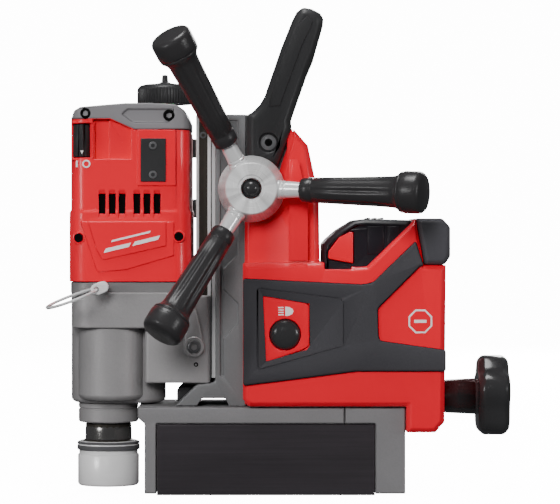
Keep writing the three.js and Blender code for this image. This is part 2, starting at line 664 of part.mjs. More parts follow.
function gearCase() {
  const length = CASE_REAR - CASE_FRONT;
  const mid = (CASE_FRONT + CASE_REAR) / 2;
  const flange = prismZ(rounded(mid, 0, length, 2 * CASE_HALF, 20), CASE_TOP - 7, CASE_TOP, 0.8);
  const block = prismZ(rounded(mid, 0, length - 1.2, 2 * CASE_HALF - 2, 20), LOBE_TOP, CASE_TOP - 6.5, 0.8);
  const lobes = prismZ(
    rounded((SPINDLE_X + MOTOR_X) / 2, 0, MOTOR_X - SPINDLE_X + 2 * LOBE_R, 2 * LOBE_R, LOBE_R),
    CASE_BOTTOM, LOBE_TOP + 1, 3.5);
  const bracket = prismY(
    rounded((BRACKET_FRONT + BRACKET_REAR) / 2, (BRACKET_BOTTOM + BRACKET_TOP) / 2,
      BRACKET_REAR - BRACKET_FRONT, BRACKET_TOP - BRACKET_BOTTOM, 5),
    -BRACKET_HALF, BRACKET_HALF, 1.5);
  const slot = box(SLIDE_FRONT - CLEAR, -SLIDE_HALF - CLEAR, BRACKET_BOTTOM - 9, BRACKET_REAR + 1,
    SLIDE_HALF + CLEAR, LOBE_TOP + 25);
  const wayRoom = box(WAY_FRONT - RUN, -BRACKET_HALF + 3, BRACKET_BOTTOM - 1, BRACKET_REAR + 1,
    BRACKET_HALF - 3, BRACKET_TOP + 1);
  const inside = prismZ(rounded(mid, 0, length - 2 * CASE_WALL, 2 * (CASE_HALF - CASE_WALL), 17),
    LOBE_TOP + 0.8, CASE_TOP + 1);
  const bore = bar("z", [SPINDLE_X, 0, 0], CASE_BOTTOM - 1, LOBE_TOP + 2, BEARING_R + CLEAR, 22);
  return cut(join(flange, block, lobes, bracket), slot, wayRoom, inside, bore, pinHole());
}

function gearCaseCover() {
  const gap = CASE_WALL + CLEAR + 1;
  const z0 = CASE_TOP + CLEAR;
  const plate = prismZ(rounded((CASE_FRONT + CASE_REAR) / 2, 0, CASE_REAR - CASE_FRONT - 2 * gap,
    2 * (CASE_HALF - gap), 16), z0, z0 + COVER_THICK);
  const seat = bar("z", [MOTOR_X, 0, 0], z0, z0 + COVER_THICK + MOTOR_BEARING_WIDTH, MOTOR_BEARING_R + 3, 22);
  return cut(join(plate, seat),
    bar("z", [MOTOR_X, 0, 0], z0 - 1, z0 + 20, MOTOR_SHAFT_R + 1.5, 20),
    bar("z", [MOTOR_X, 0, 0], z0 + COVER_THICK - 1, z0 + 20, MOTOR_BEARING_R + CLEAR, 22));
}

// ---- gear train from the motor down to the spindle

const spindleAt = [SPINDLE_X, 0];
const motorAt = [MOTOR_X, 0];
const idlerTwoAt = [
  SPINDLE_X + spacing(MESH_SPINDLE) * Math.cos(IDLER_TWO_BEARING * DEG),
  spacing(MESH_SPINDLE) * Math.sin(IDLER_TWO_BEARING * DEG),
];
const idlerOneAt = meshPoint(motorAt, spacing(MESH_MOTOR), idlerTwoAt, spacing(MESH_MIDDLE));

const GEAR_GAP = 1.2; // between gears one above the other
const SPINDLE_GEAR_Z = LOBE_TOP + 2;
const MIDDLE_GEAR_Z = SPINDLE_GEAR_Z + MESH_SPINDLE.width + GEAR_GAP;
const MOTOR_GEAR_Z = MIDDLE_GEAR_Z + MESH_MIDDLE.width + GEAR_GAP;

// A wheel with a pinion under it, on one shaft.
function idler(at, upper, upperTooth, upperZ, lower, lowerTooth, lowerZ) {
  const wheel = gearZ(upper, upper.wheel, at, upperTooth, upperZ);
  const pinion = gearZ(lower, lower.pinion, at, lowerTooth, lowerZ);
  const shaft = bar("z", [...at, 0], lowerZ, upperZ + upper.width + 1, 3, 16);
  return join(wheel, pinion, shaft);
}

const half = (teeth) => Math.PI / teeth;

function idlerOne() {
  return idler(
    idlerOneAt, MESH_MOTOR, bearingOf(idlerOneAt, motorAt) + half(MESH_MOTOR.wheel), MOTOR_GEAR_Z,
    MESH_MIDDLE, bearingOf(idlerOneAt, idlerTwoAt), MIDDLE_GEAR_Z);
}

function idlerTwo() {
  return idler(
    idlerTwoAt, MESH_MIDDLE, bearingOf(idlerTwoAt, idlerOneAt) + half(MESH_MIDDLE.wheel), MIDDLE_GEAR_Z,
    MESH_SPINDLE, bearingOf(idlerTwoAt, spindleAt), SPINDLE_GEAR_Z);
}

function spindleGear() {
  const wheel = gearZ(MESH_SPINDLE, MESH_SPINDLE.wheel, spindleAt,
    bearingOf(spindleAt, idlerTwoAt) + half(MESH_SPINDLE.wheel), SPINDLE_GEAR_Z);
  const hole = bar("z", [SPINDLE_X, 0, 0], SPINDLE_GEAR_Z - 1, SPINDLE_GEAR_Z + 20, SPINDLE_R + CLEAR, 24);
  return cut(wheel, hole);
}

function spindle() {
  const r = SPINDLE_R;
  const nose = SLEEVE_R - SLEEVE_WALL - RUN;
  const bore = SHANK_BORE_R;
  const low = SLEEVE_BOTTOM + 1.5;
  return turned([
    [0, SPINDLE_GEAR_Z + MESH_SPINDLE.width], [r, SPINDLE_GEAR_Z + MESH_SPINDLE.width],
    [r, CASE_BOTTOM + CLEAR], [NECK_R - 3.5, CASE_BOTTOM - CLEAR], [NECK_R - 3.5, NECK_TOP - CLEAR],
    [NECK_R, NECK_TOP - 1.2], [NECK_R, NECK_BOTTOM + 1], [nose, NECK_BOTTOM], [nose, low],
    [bore, low], [bore, low + SHANK_BORE_DEPTH], [0, low + SHANK_BORE_DEPTH],
  ], "z", [SPINDLE_X, 0, 0], 22);
}

function arborSleeve() {
  const [low, high] = [SLEEVE_BOTTOM, SLEEVE_BOTTOM + SLEEVE_HEIGHT];
  const [inner, outer] = [SLEEVE_R - SLEEVE_WALL, SLEEVE_R];
  const groove = high - 6;
  return turned([
    [inner, low], [outer - 1, low], [outer, low + 1], [outer, groove - 5], [outer - 1, groove - 4],
    [outer - 1, groove], [outer, groove + 0.8], [outer, high - 0.8], [outer - 0.8, high],
    [inner, high], [inner, low],
  ], "z", [SPINDLE_X, 0, 0], 22);
}

function quillCollar() {
  const high = CASE_BOTTOM - CLEAR;
  const inner = NECK_R - 3.5 + RUN;
  return turned([
    [inner, high], [inner, NECK_TOP], [COLLAR_R - 3, NECK_TOP], [COLLAR_R, NECK_TOP + 3],
    [COLLAR_R, high], [inner, high],
  ], "z", [SPINDLE_X, 0, 0], 22);
}

const spindleBearing = (low) =>
  ring("z", [SPINDLE_X, 0, 0], low, low + BEARING_WIDTH, SPINDLE_R + CLEAR, BEARING_R, 22);

// ---- motor

const ROTOR_LOW = CASE_TOP + 26;

function motorRotor() {
  const at = [MOTOR_X, 0, 0];
  const shaftTop = MOTOR_TOP - CAP_DIP - 4;
  const fanLow = ROTOR_LOW + STATOR_HEIGHT + 3;
  return join(
    gearZ(MESH_MOTOR, MESH_MOTOR.pinion, motorAt, bearingOf(motorAt, idlerOneAt), MOTOR_GEAR_Z),
    bar("z", at, MOTOR_GEAR_Z, shaftTop, MOTOR_SHAFT_R, 16),
    bar("z", at, ROTOR_LOW, ROTOR_LOW + STATOR_HEIGHT - 6, ROTOR_R, 22),
    bar("z", at, fanLow, fanLow + 3, FAN_R, 24),
    ring("z", at, fanLow + 1, fanLow + 9, MOTOR_SHAFT_R - 1, 9, 20),
  );
}

const motorStator = () =>
  ring("z", [MOTOR_X, 0, 0], ROTOR_LOW - 2, ROTOR_LOW + STATOR_HEIGHT - 4, STATOR_HOLE_R, STATOR_R, 22);

function motorBearing() {
  const low = CASE_TOP + CLEAR + COVER_THICK - 1 + CLEAR;
  return ring("z", [MOTOR_X, 0, 0], low, low + MOTOR_BEARING_WIDTH, MOTOR_SHAFT_R + CLEAR, MOTOR_BEARING_R, 24);
}

const motorOutline = (inset, radius) => rounded((MOTOR_FRONT + MOTOR_REAR) / 2, 0,
  MOTOR_REAR - MOTOR_FRONT - 2 * inset, 2 * (MOTOR_HALF - inset), radius);

// The line between the red shells and the grey top cap, as an (x, z) outline above it.
function capOutline(gap) {
  const low = MOTOR_TOP - CAP_DIP + gap;
  const high = MOTOR_TOP + gap;
  return [
    [MOTOR_FRONT - 5, high], [MOTOR_FRONT + 27, high], [MOTOR_FRONT + 43, low],
    [MOTOR_REAR + 5, low], [MOTOR_REAR + 5, TOP_CAP_TOP + 5], [MOTOR_FRONT - 5, TOP_CAP_TOP + 5],
  ];
}

const VENT_WIDTH = 4.2;
const VENT_X = [-110.2, -103.4, -96.8, -86.8, -80, -73.2];
const VENT_LOW = 190;
const VENT_HIGH = 203;

function motorShell(side) {
  const body = prismZ(motorOutline(0, 20), MOTOR_BOTTOM, MOTOR_TOP + 1, 0.8);
  const inside = prismZ(motorOutline(MOTOR_WALL, 17), MOTOR_BOTTOM - 1, MOTOR_TOP + 2);
  const above = prismY(capOutline(0), -MOTOR_HALF - 1, MOTOR_HALF + 1);
  const vents = VENT_X.map((x) =>
    box(x - VENT_WIDTH / 2, -MOTOR_HALF - 1, VENT_LOW, x + VENT_WIDTH / 2, MOTOR_HALF + 1, VENT_HIGH));
  const half = side < 0
    ? box(MOTOR_FRONT - 1, -MOTOR_HALF - 1, MOTOR_BOTTOM - 1, MOTOR_REAR + 1, -CLEAR / 2, MOTOR_TOP + 3)
    : box(MOTOR_FRONT - 1, CLEAR / 2, MOTOR_BOTTOM - 1, MOTOR_REAR + 1, MOTOR_HALF + 1, MOTOR_TOP + 3);
  let shell = common(cut(body, inside, above, ...vents), half);
  if (side > 0) return shell;
  const pocket = DIAL_R + RUN + 2;
  const open = DIAL_R + RUN;
  const top = MOTOR_TOP + 2;
  shell = shell.add(common(
    bar("z", [DIAL_X, DIAL_Y, 0], DIAL_BOTTOM - 3, MOTOR_TOP - 0.5, pocket, 24),
    prismZ(motorOutline(0, 20), MOTOR_BOTTOM, MOTOR_TOP)));
  shell = shell.subtract(bar("z", [DIAL_X, DIAL_Y, 0], DIAL_BOTTOM - CLEAR, top, open, 24));
  return cut(shell, box(DIAL_X - open, DIAL_Y - 12, DIAL_BOTTOM - CLEAR, DIAL_X + open, DIAL_Y, top),
    plateSeat());
}

const PLATE_X = -75.7;
const PLATE_WIDTH = 17;
const PLATE_LOW = 211.3;
const PLATE_HIGH = 240.5;
const PLATE_DEPTH = 1.2;

const plateSeat = () => box(PLATE_X - PLATE_WIDTH / 2 - CLEAR, -MOTOR_HALF - 1, PLATE_LOW - CLEAR,
  PLATE_X + PLATE_WIDTH / 2 + CLEAR, -MOTOR_HALF + PLATE_DEPTH, PLATE_HIGH + CLEAR);

const accessPlate = () => prismY(
  rounded(PLATE_X, (PLATE_LOW + PLATE_HIGH) / 2, PLATE_WIDTH, PLATE_HIGH - PLATE_LOW, 1.5),
  -MOTOR_HALF - 1, -MOTOR_HALF + PLATE_DEPTH - CLEAR, 0.4);

function motorTopCap() {
  const rim = 2.5;
  const body = prismZ(motorOutline(0, 20), MOTOR_TOP - CAP_DIP - 1, TOP_CAP_TOP, rim);
  const outline = prismY([...capOutline(CLEAR).slice(0, 4),
    [MOTOR_REAR + 5, TOP_CAP_TOP - 8], [MOTOR_REAR - 8, TOP_CAP_TOP + 1], [MOTOR_FRONT + 40, TOP_CAP_TOP + 1],
    [MOTOR_FRONT + 8, TOP_CAP_TOP - 2], [MOTOR_FRONT - 1, TOP_CAP_TOP - 9], [MOTOR_FRONT - 5, TOP_CAP_TOP - 9],
  ], -MOTOR_HALF - 1, MOTOR_HALF + 1);
  const inside = prismZ(motorOutline(MOTOR_WALL, 17), MOTOR_TOP - 20, TOP_CAP_TOP - 4);
  return cut(common(body, outline), inside);
}

// ---- power dial, locking pin and its ring

function powerDial() {
  const at = [DIAL_X, DIAL_Y, 0];
  const ridge = box(DIAL_X - 1.4, DIAL_Y - DIAL_R - 1.2, DIAL_BOTTOM + CLEAR, DIAL_X + 1.4, DIAL_Y, DIAL_TOP);
  return join(bar("z", at, DIAL_BOTTOM + CLEAR, DIAL_TOP, DIAL_R, 22), ridge);
}

const PIN_LENGTH = 13; // inside the case
const PIN_HEAD = 3;
const PIN_STAND = 17; // from the case to the back of the head
const pinHole = () => bar("y", [SPINDLE_X, 0, PIN_Z], -CASE_HALF - 1, -CASE_HALF + PIN_LENGTH, PIN_R + RUN, 16);

// The eye lies towards the ring, off the pin's axis.
const EYE_OFFSET = 4.6;
const EYE_X = SPINDLE_X - EYE_OFFSET * Math.cos(RING_DROOP * DEG);
const EYE_Z = PIN_Z - EYE_OFFSET * Math.sin(RING_DROOP * DEG);

function lockPin() {
  const at = [SPINDLE_X, 0, PIN_Z];
  const face = -CASE_HALF - PIN_STAND;
  const pin = bar("y", at, face - 1, -CASE_HALF + PIN_LENGTH - 3, PIN_R, 16);
  const outline = rounded(-EYE_OFFSET / 2, 0, EYE_OFFSET + 2 * PIN_HEAD_R, 2 * PIN_HEAD_R, PIN_HEAD_R);
  const flat = solid(drawn(shapeOf(outline), PIN_HEAD, 0.4).rotateX(90 * DEG)
    .rotateY(-RING_DROOP * DEG).translate(SPINDLE_X, face, PIN_Z));
  return cut(join(pin, flat), bar("y", [EYE_X, 0, EYE_Z], face - PIN_HEAD - 1, face + 1, RING_WIRE_R + 0.7, 16));
}

function pullRing() {
  const torus = new THREE.TorusGeometry(RING_R, RING_WIRE_R, 6, 24).translate(-RING_R, 0, 0);
  torus.rotateX(RING_LEAN * DEG).rotateY(-RING_DROOP * DEG);
  return solid(torus.translate(EYE_X, -CASE_HALF - PIN_STAND - PIN_HEAD / 2, EYE_Z));
}

// ---- coolant bottle and its bracket

const BRACKET_PLATE = 2.6;
const BRACKET_HEIGHT = 13;
const BRACKET_LOW = BOTTLE_BOTTOM + 28;
const BRACKET_HIGH = BOTTLE_SHOULDER - BRACKET_HEIGHT;

function bottleBracket() {
  const inner = BOTTLE_R + CLEAR;
  const outer = inner + BRACKET_RING;
  const face = MOTOR_HALF + CLEAR;
  const at = [BOTTLE_X, BOTTLE_Y, 0];
  const plate = box(BOTTLE_X - 12, face, BRACKET_LOW - 4, BOTTLE_X + 12, face + BRACKET_PLATE,
    BRACKET_HIGH + BRACKET_HEIGHT);
  const rings = [BRACKET_LOW, BRACKET_HIGH].map((z) => ring("z", at, z, z + BRACKET_HEIGHT, inner, outer, 24));
  const mouth = box(BOTTLE_X - 14, BOTTLE_Y + 8, BRACKET_LOW - 9, BOTTLE_X + 14, BOTTLE_Y + 40, BRACKET_HIGH + 30);
  const room = bar("z", at, BRACKET_LOW - 9, BRACKET_HIGH + 30, inner, 24);
  const front = box(BOTTLE_X - 30, face - 20, BRACKET_LOW - 9, BOTTLE_X + 30, face, BRACKET_HIGH + 30);
  return cut(join(plate, ...rings), mouth, room, front);
}

function coolantBottle() {
  const [r, t, neck] = [BOTTLE_R, BOTTLE_WALL, BOTTLE_NECK_R];
  const [low, high] = [BOTTLE_BOTTOM, BOTTLE_SHOULDER];
  return turned([
    [0, low + t], [r - t, low + t], [r - t, high], [neck - t, BOTTLE_TOP - 9], [neck - t, BOTTLE_TOP],
    [neck, BOTTLE_TOP], [neck, BOTTLE_TOP - 8], [r, high + 1], [r, low + 2], [r - 2, low], [0, low],
  ], "z", [BOTTLE_X, BOTTLE_Y, 0], 24);
}

function bottleCap() {
  const low = BOTTLE_TOP + 1;
  const high = low + BOTTLE_CAP_HEIGHT;
  const r = BOTTLE_CAP_R;
  return turned([
    [BOTTLE_NECK_R + CLEAR, low], [r - 1, low], [r, low + 1], [r, high - 4], [r - 2.5, high - 1.5],
    [6, high], [3, high + 1], [2, high + 6.5], [0, high + 6.5],
    [0, low + CLEAR], [BOTTLE_NECK_R + CLEAR, low + CLEAR], [BOTTLE_NECK_R + CLEAR, low],
  ], "z", [BOTTLE_X, BOTTLE_Y, 0], 22);
}

// ---- housing behind the column

const HOUSE_BOTTOM = COLUMN_BOTTOM + CLEAR;
const REAR_BOTTOM = PLATE_BOTTOM - 5.4; // the rear end hangs down behind the base
const GUARD_FRONT = HOUSE_REAR - 20.3;
const GUARD_BOTTOM = 155.3;
const WING_TOP = BATTERY_TOP;

// Side view of the upper cover: shallow at its top front, where the carry handle lies.
function upperOutline() {
  const rear = HOUSE_REAR - 84.5;
  return [
    [HOUSE_FRONT, HOUSE_BOTTOM], [HOUSE_FRONT, FEED_Z - 14], [FEED_X + 13, FEED_Z - 10],
    [HANDLE_SCREW_X + 8.5, HANDLE_SCREW_Z - 15], [HANDLE_SCREW_X + 17, HOUSE_TOP], [rear - 8, HOUSE_TOP - 11],
    [rear - 3.6, HOUSE_TOP - 32], [rear - 0.6, HOUSE_TOP - 50], [rear, HOUSE_LEDGE], [rear, HOUSE_BOTTOM],
  ];
}

// Side view of the wide lower body, with the battery bay's sloping mouth and the rear end.
function lowerOutline() {
  const mouth = HOUSE_REAR - 60;
  return [
    [HOUSE_FRONT, HOUSE_BOTTOM + 5], [HOUSE_FRONT + 4, HOUSE_BOTTOM], [BASE_REAR + CLEAR, HOUSE_BOTTOM],
    [BASE_REAR + CLEAR, REAR_BOTTOM], [HOUSE_REAR - 7, REAR_BOTTOM], [HOUSE_REAR - 1, REAR_BOTTOM + 7],
    [HOUSE_REAR, GUARD_BOTTOM], [GUARD_FRONT + 5.5, GUARD_BOTTOM], [GUARD_FRONT, WING_TOP],
    [mouth + 7, HOUSE_LEDGE + 4], [mouth, HOUSE_LEDGE + 3.4],
    [HOUSE_REAR - 84.5, HOUSE_LEDGE + 7], [HOUSE_FRONT, HOUSE_LEDGE + 6],
  ];
}

const bayHalf = () => BATTERY_HALF + RUN + 0.6;

function housing(side) {
  const inner = HOUSE_HALF - HOUSE_WALL;
  const rear = BATTERY_REAR + RUN + 0.8;
  const bayFloor = BATTERY_BOTTOM - 0.5;
  const front = BATTERY_FRONT - HOUSE_WALL;
  const outer = join(
    prismY(upperOutline(), -HOUSE_HALF_UP, HOUSE_HALF_UP, 3.5),
    prismY(lowerOutline(), -HOUSE_HALF, HOUSE_HALF, 3));
  const half = side < 0
    ? box(HOUSE_FRONT - 1, -HOUSE_HALF - 1, REAR_BOTTOM - 1, HOUSE_REAR + 1, -CLEAR / 2, HOUSE_TOP + 9)
    : box(HOUSE_FRONT - 1, CLEAR / 2, REAR_BOTTOM - 1, HOUSE_REAR + 1, HOUSE_HALF + 1, HOUSE_TOP + 9);
  const rearHalf = COLUMN_HALF_REAR + CLEAR;
  const stepHalf = COLUMN_HALF + CLEAR;
  const body = cut(common(outer, half),
    box(COLUMN_STEP - 2, -rearHalf, HOUSE_BOTTOM - 9, COLUMN_REAR + CLEAR, rearHalf, HOUSE_TOP + 9),
    box(HOUSE_FRONT - 2, -stepHalf, HOUSE_BOTTOM - 9, COLUMN_STEP + CLEAR, stepHalf, HOUSE_TOP + 9),
    box(COLUMN_REAR, -inner, HOUSE_BOTTOM + HOUSE_WALL, front - HOUSE_WALL, inner, HOUSE_LEDGE - 1),
    box(COLUMN_STEP + 3, rearHalf - 1, HOUSE_BOTTOM + HOUSE_WALL, COLUMN_REAR + 1, inner, HOUSE_LEDGE - 1),
    box(COLUMN_STEP + 3, -inner, HOUSE_BOTTOM + HOUSE_WALL, COLUMN_REAR + 1, 1 - rearHalf, HOUSE_LEDGE - 1),
    box(COLUMN_REAR, 4 - HOUSE_HALF_UP, HOUSE_LEDGE - 2, front - 7, HOUSE_HALF_UP - 4, HOUSE_TOP - 40),
    box(front - HOUSE_WALL - 1, -TERMINAL_HALF - 1, BATTERY_BOTTOM, BATTERY_FRONT, TERMINAL_HALF + 1, HOUSE_LEDGE - 12),
    box(BATTERY_FRONT - 0.7, -bayHalf(), bayFloor, rear, bayHalf(), WING_TOP + 9),
    box(DRIVE_X - 6, -driveRadius() - 4, HOUSE_BOTTOM - 9, HOUSE_REAR - HOUSE_WALL, driveRadius() + 4, bayFloor - 1.6),
    box(BASE_REAR + HOUSE_WALL, -inner, REAR_BOTTOM + HOUSE_WALL, HOUSE_REAR - HOUSE_WALL, inner, bayFloor - 1.6),
    box(rear + HOUSE_WALL, -inner, REAR_BOTTOM + HOUSE_WALL, HOUSE_REAR - HOUSE_WALL, inner, GUARD_BOTTOM - 8),
    bar("x", [0, 0, KNOB_Z], HOUSE_REAR - 9, HOUSE_REAR + 2, KNOB_SHAFT_R + 1 + RUN, 22),
    bar("y", [FEED_X, 0, FEED_Z], -HOUSE_HALF - 1, HOUSE_HALF + 1, SHAFT_R + RUN + BUSH_WALL + 1, 22));
  return side < 0 ? cut(body, prismY(panelOutline(CLEAR), -HOUSE_HALF - 1, -inner + 1), ...latchRoom(side))
    : cut(body, ...latchRoom(side));
}

// Room beside each latch, so that a thumb can press it.
function latchRoom(side) {
  const x = BATTERY_FRONT + 12;
  const [low, high] = side < 0 ? [-HOUSE_HALF - 1, -bayHalf() + 1] : [bayHalf() - 1, HOUSE_HALF + 1];
  return [box(x - 11, low, HOUSE_LEDGE + 2, x + 7, high, WING_TOP)];
}

// Side view of the red panel that carries the light's button.
function panelOutline(gap) {
  const [left, right] = [-2 - gap, 29.3 + gap];
  return [
    [left, 90 - gap], [left + 2.5, 90 - gap], [right - 4.5, 98.3 - gap], [right, 101.4],
    [right, 128.2], [right - 2.5, 130.2 + gap], [left, 134.8 + gap],
  ];
}

function lightPanel() {
  const face = -HOUSE_HALF + PANEL_SINK - 2;
  const body = prismY(panelOutline(0), face, face + 3, 0.5);
  return cut(body, bar("y", [BUTTON_X, 0, BUTTON_Z], face - 1, face + 9, BUTTON_R + RUN, 22));
}

function lightButton() {
  const face = -HOUSE_HALF + PANEL_SINK - 2;
  const r = BUTTON_R;
  return turned([
    [0, face + 3], [r, face + 3], [r, face - 0.6], [r - 2, face - 2], [r - 6, face - 2.8], [0, face - 3],
  ], "y", [BUTTON_X, 0, BUTTON_Z], 22);
}

// Soft dark cover on each side of the lower body.
function overmold(side) {
  const front = HOUSE_FRONT + 0.3;
  const high = 142.5;
  const rear = HOUSE_REAR - 0.3;
  const outline = [
    [front, high + 4], [64.8, high], [71.9, high + 1.5], [GUARD_FRONT - 0.3, 171.6],
    [GUARD_FRONT + 5.2, GUARD_BOTTOM - 0.4], [103.7, GUARD_BOTTOM - 0.4], [75, 126.2], [75.5, 108.7],
    [76.5, 104.7], [rear, 98.5], [rear, 84.1], [60.6, 84.1], [front, 74.4],
  ];
  const window = [
    [-4.6, 139.5], [-4.6, 86], [51.4, 101.6], [51.4, 130.3], [49.3, 132.3],
  ];
  const face = HOUSE_HALF + CLEAR;
  const [y0, y1] = side < 0 ? [-face - OVERMOLD_THICK, -face] : [face, face + OVERMOLD_THICK];
  return cut(prismY(outline, y0, y1), prismY(window, y0 - 1, y1 + 1));
}

// Hard rubber guard across the top of the rear end.
function cornerGuard() {
  const gap = CLEAR;
  const outline = [
    [GUARD_FRONT + gap, WING_TOP + 0.3], [HOUSE_REAR - 2.5, WING_TOP + 0.3], [HOUSE_REAR + 2.8, WING_TOP - 5.5],
    [HOUSE_REAR + 2.8, GUARD_BOTTOM + 5.5], [HOUSE_REAR - 1, GUARD_BOTTOM + gap], [GUARD_FRONT + 5.9, GUARD_BOTTOM + gap],
  ];
  return prismY(outline, -HOUSE_HALF - OVERMOLD_THICK, HOUSE_HALF + OVERMOLD_THICK, 2.5);
}

function controlBoard() {
  const x = COLUMN_REAR + 6;
  const half = HOUSE_HALF - HOUSE_WALL - 6;
  const board = box(x, -half, HOUSE_BOTTOM + 10, x + 1.8, half, HOUSE_LEDGE - 18);
  const parts = [[-20, 18], [2, 14], [22, 20]].map(([y, width]) =>
    box(x + 1.5, y - width / 2, HOUSE_BOTTOM + 22, x + 9, y + width / 2, HOUSE_BOTTOM + 50));
  return join(board, ...parts);
}

// ---- battery and what it plugs into

function batteryTerminal() {
  const back = BATTERY_FRONT - HOUSE_WALL - 6;
  const top = HOUSE_LEDGE - 13;
  const block = box(back, -TERMINAL_HALF, BATTERY_BOTTOM + 2, BATTERY_FRONT - CLEAR, TERMINAL_HALF, top);
  const rails = [-RAIL_Y, RAIL_Y].map((y) => box(BATTERY_FRONT - 1, y - RAIL_WIDTH / 2, BATTERY_BOTTOM + 4,
    BATTERY_FRONT + RAIL_DEPTH, y + RAIL_WIDTH / 2, top - 2));
  const blades = [-9, -3, 3, 9].map((y) => box(BATTERY_FRONT - 1, y - 0.5, BATTERY_BOTTOM + 8,
    BATTERY_FRONT + 4, y + 0.5, BATTERY_BOTTOM + 24));
  return join(block, ...rails, ...blades);
}

function batteryPack() {
  const [x0, x1, top, low] = [BATTERY_FRONT, BATTERY_REAR, BATTERY_TOP, BATTERY_BOTTOM];
  const body = prismY([
    [x0, low], [x0, top - 17], [x0 + 3, top - 13.5], [x0 + 10, top - 7.5], [x0 + 21, top - 0.8],
    [x0 + 28, top], [x1, top - 0.7], [x1, low],
  ], -BATTERY_HALF, BATTERY_HALF, 3);
  const railTop = HOUSE_LEDGE - 14;
  const grooves = [-RAIL_Y, RAIL_Y].map((y) => box(x0 - 1, y - RAIL_WIDTH / 2 - RUN, low - 1,
    x0 + RAIL_DEPTH + RUN, y + RAIL_WIDTH / 2 + RUN, railTop));
  const slots = [-9, -3, 3, 9].map((y) => box(x0 - 1, y - 1, low - 1, x0 + 5, y + 1, low + 25));
  return cut(body, ...grooves, ...slots, ...[-1, 1].map((side) => latchBody(side, RUN)));
}

// One latch button in the battery's side, grown by a gap all round for its pocket.
function latchBody(side, grow) {
  const x = BATTERY_FRONT + 12;
  const z = BATTERY_TOP - 19;
  const depth = grow > 0 ? 4.5 + LATCH_TRAVEL + 0.5 : 4.5;
  const outer = BATTERY_HALF + 1.6;
  const [y0, y1] = side < 0 ? [-outer, -BATTERY_HALF + depth] : [BATTERY_HALF - depth, outer];
  return prismY([
    [x - 8.3 - grow, z - 8 - grow], [x + 8.5 + grow, z - 11 - grow], [x + 8.5 + grow, z + 10 + grow],
    [x + 6 + grow, z + 10 + grow], [x - 1 - grow, z + 6.5 + grow], [x - 8.3 - grow, z - 3],
  ], y0, y1);
}

// ---- carry handle

function carryHandle() {
  const front = COLUMN_STEP + 0.6;
  const screw = -HANDLE_SCREW_DROP;
  const outline = [
    [front, screw - 17], [HANDLE_SCREW_X + 6, screw - 16.2], [HANDLE_SCREW_X + 15.6, 0.8 - HOUSE_DROP],
    [17, -4.2], [19.2, 3.1], [28.7, 30.1], [33.1, 40.4], [38.5, 59.3], [39, 64.5], [36.7, 68.1],
    [31, 71], [25, HANDLE_RISE], [20.7, 68.8], [17.7, 63], [10.4, 44.7], [3.1, 24.3], [-0.9, 11.9],
    [-4.2, 6.3], [-9.4, 1.2], [front, -0.6],
  ].map(([x, rise]) => [x, COLUMN_TOP + rise]);
  const inner = COLUMN_HALF_REAR + CLEAR;
  const gap = box(front - 9, -inner, HANDLE_SCREW_Z - 40, 60, inner, GRIP_UNDERSIDE);
  const screws = [-1, 1].map((side) => {
    const low = side < 0 ? -HANDLE_HALF - 1 : HANDLE_HALF - SCREW_SINK;
    const high = side < 0 ? -HANDLE_HALF + SCREW_SINK : HANDLE_HALF + 1;
    const at = [HANDLE_SCREW_X, 0, HANDLE_SCREW_Z];
    return join(bar("y", at, low, high, SCREW_HEAD_R + CLEAR, 24),
      side < 0 ? bar("y", at, -HANDLE_HALF, -inner + 1, HANDLE_SCREW_R + CLEAR, 16)
        : bar("y", at, inner - 1, HANDLE_HALF, HANDLE_SCREW_R + CLEAR, 16));
  });
  return cut(prismY(outline, -HANDLE_HALF, HANDLE_HALF, 4), gap, ...screws);
}

const SCREW_SINK = 5;
const SCREW_HEAD_R = 6;
const SCREW_HEAD = 4;

function handleScrew(side) {
  const seat = HANDLE_HALF - SCREW_SINK - CLEAR;
  const end = COLUMN_HALF_REAR - HANDLE_SCREW_GRIP;
  const profile = side < 0
    ? [[0, -seat - SCREW_HEAD + 2], [3, -seat - SCREW_HEAD + 2], [3, -seat - SCREW_HEAD],
      [SCREW_HEAD_R, -seat - SCREW_HEAD], [SCREW_HEAD_R, -seat - CLEAR], [HANDLE_SCREW_R, -seat - CLEAR],
      [HANDLE_SCREW_R, -end], [0, -end]]
    : [[0, seat + SCREW_HEAD - 2], [3, seat + SCREW_HEAD - 2], [3, seat + SCREW_HEAD],
      [SCREW_HEAD_R, seat + SCREW_HEAD], [SCREW_HEAD_R, seat + CLEAR], [HANDLE_SCREW_R, seat + CLEAR],
      [HANDLE_SCREW_R, end], [0, end]];
  return turned(profile, "y", [HANDLE_SCREW_X, 0, HANDLE_SCREW_Z], 20);
}

// ---- work light in the foot

function lampHousing() {
  const [x, z] = [FOOT_FRONT + 0.8, COLUMN_BOTTOM + 1 + CLEAR];
  const outline = [
    [x, z + 1], [x + 1.5, z], [x + 16, z], [x + 16, z + LAMP_HEIGHT], [x + 3, z + LAMP_HEIGHT], [x, z + LAMP_HEIGHT - 3],
  ];
  const body = prismY(outline, -LAMP_HALF, LAMP_HALF, 1);
  return cut(body, box(x - 1, -LAMP_HALF + 4, z + 2.5, x + 2, LAMP_HALF - 4, z + 7));
}

// ---------------------------------------------------------------- assembly

const NAMES = ["near", "far"];

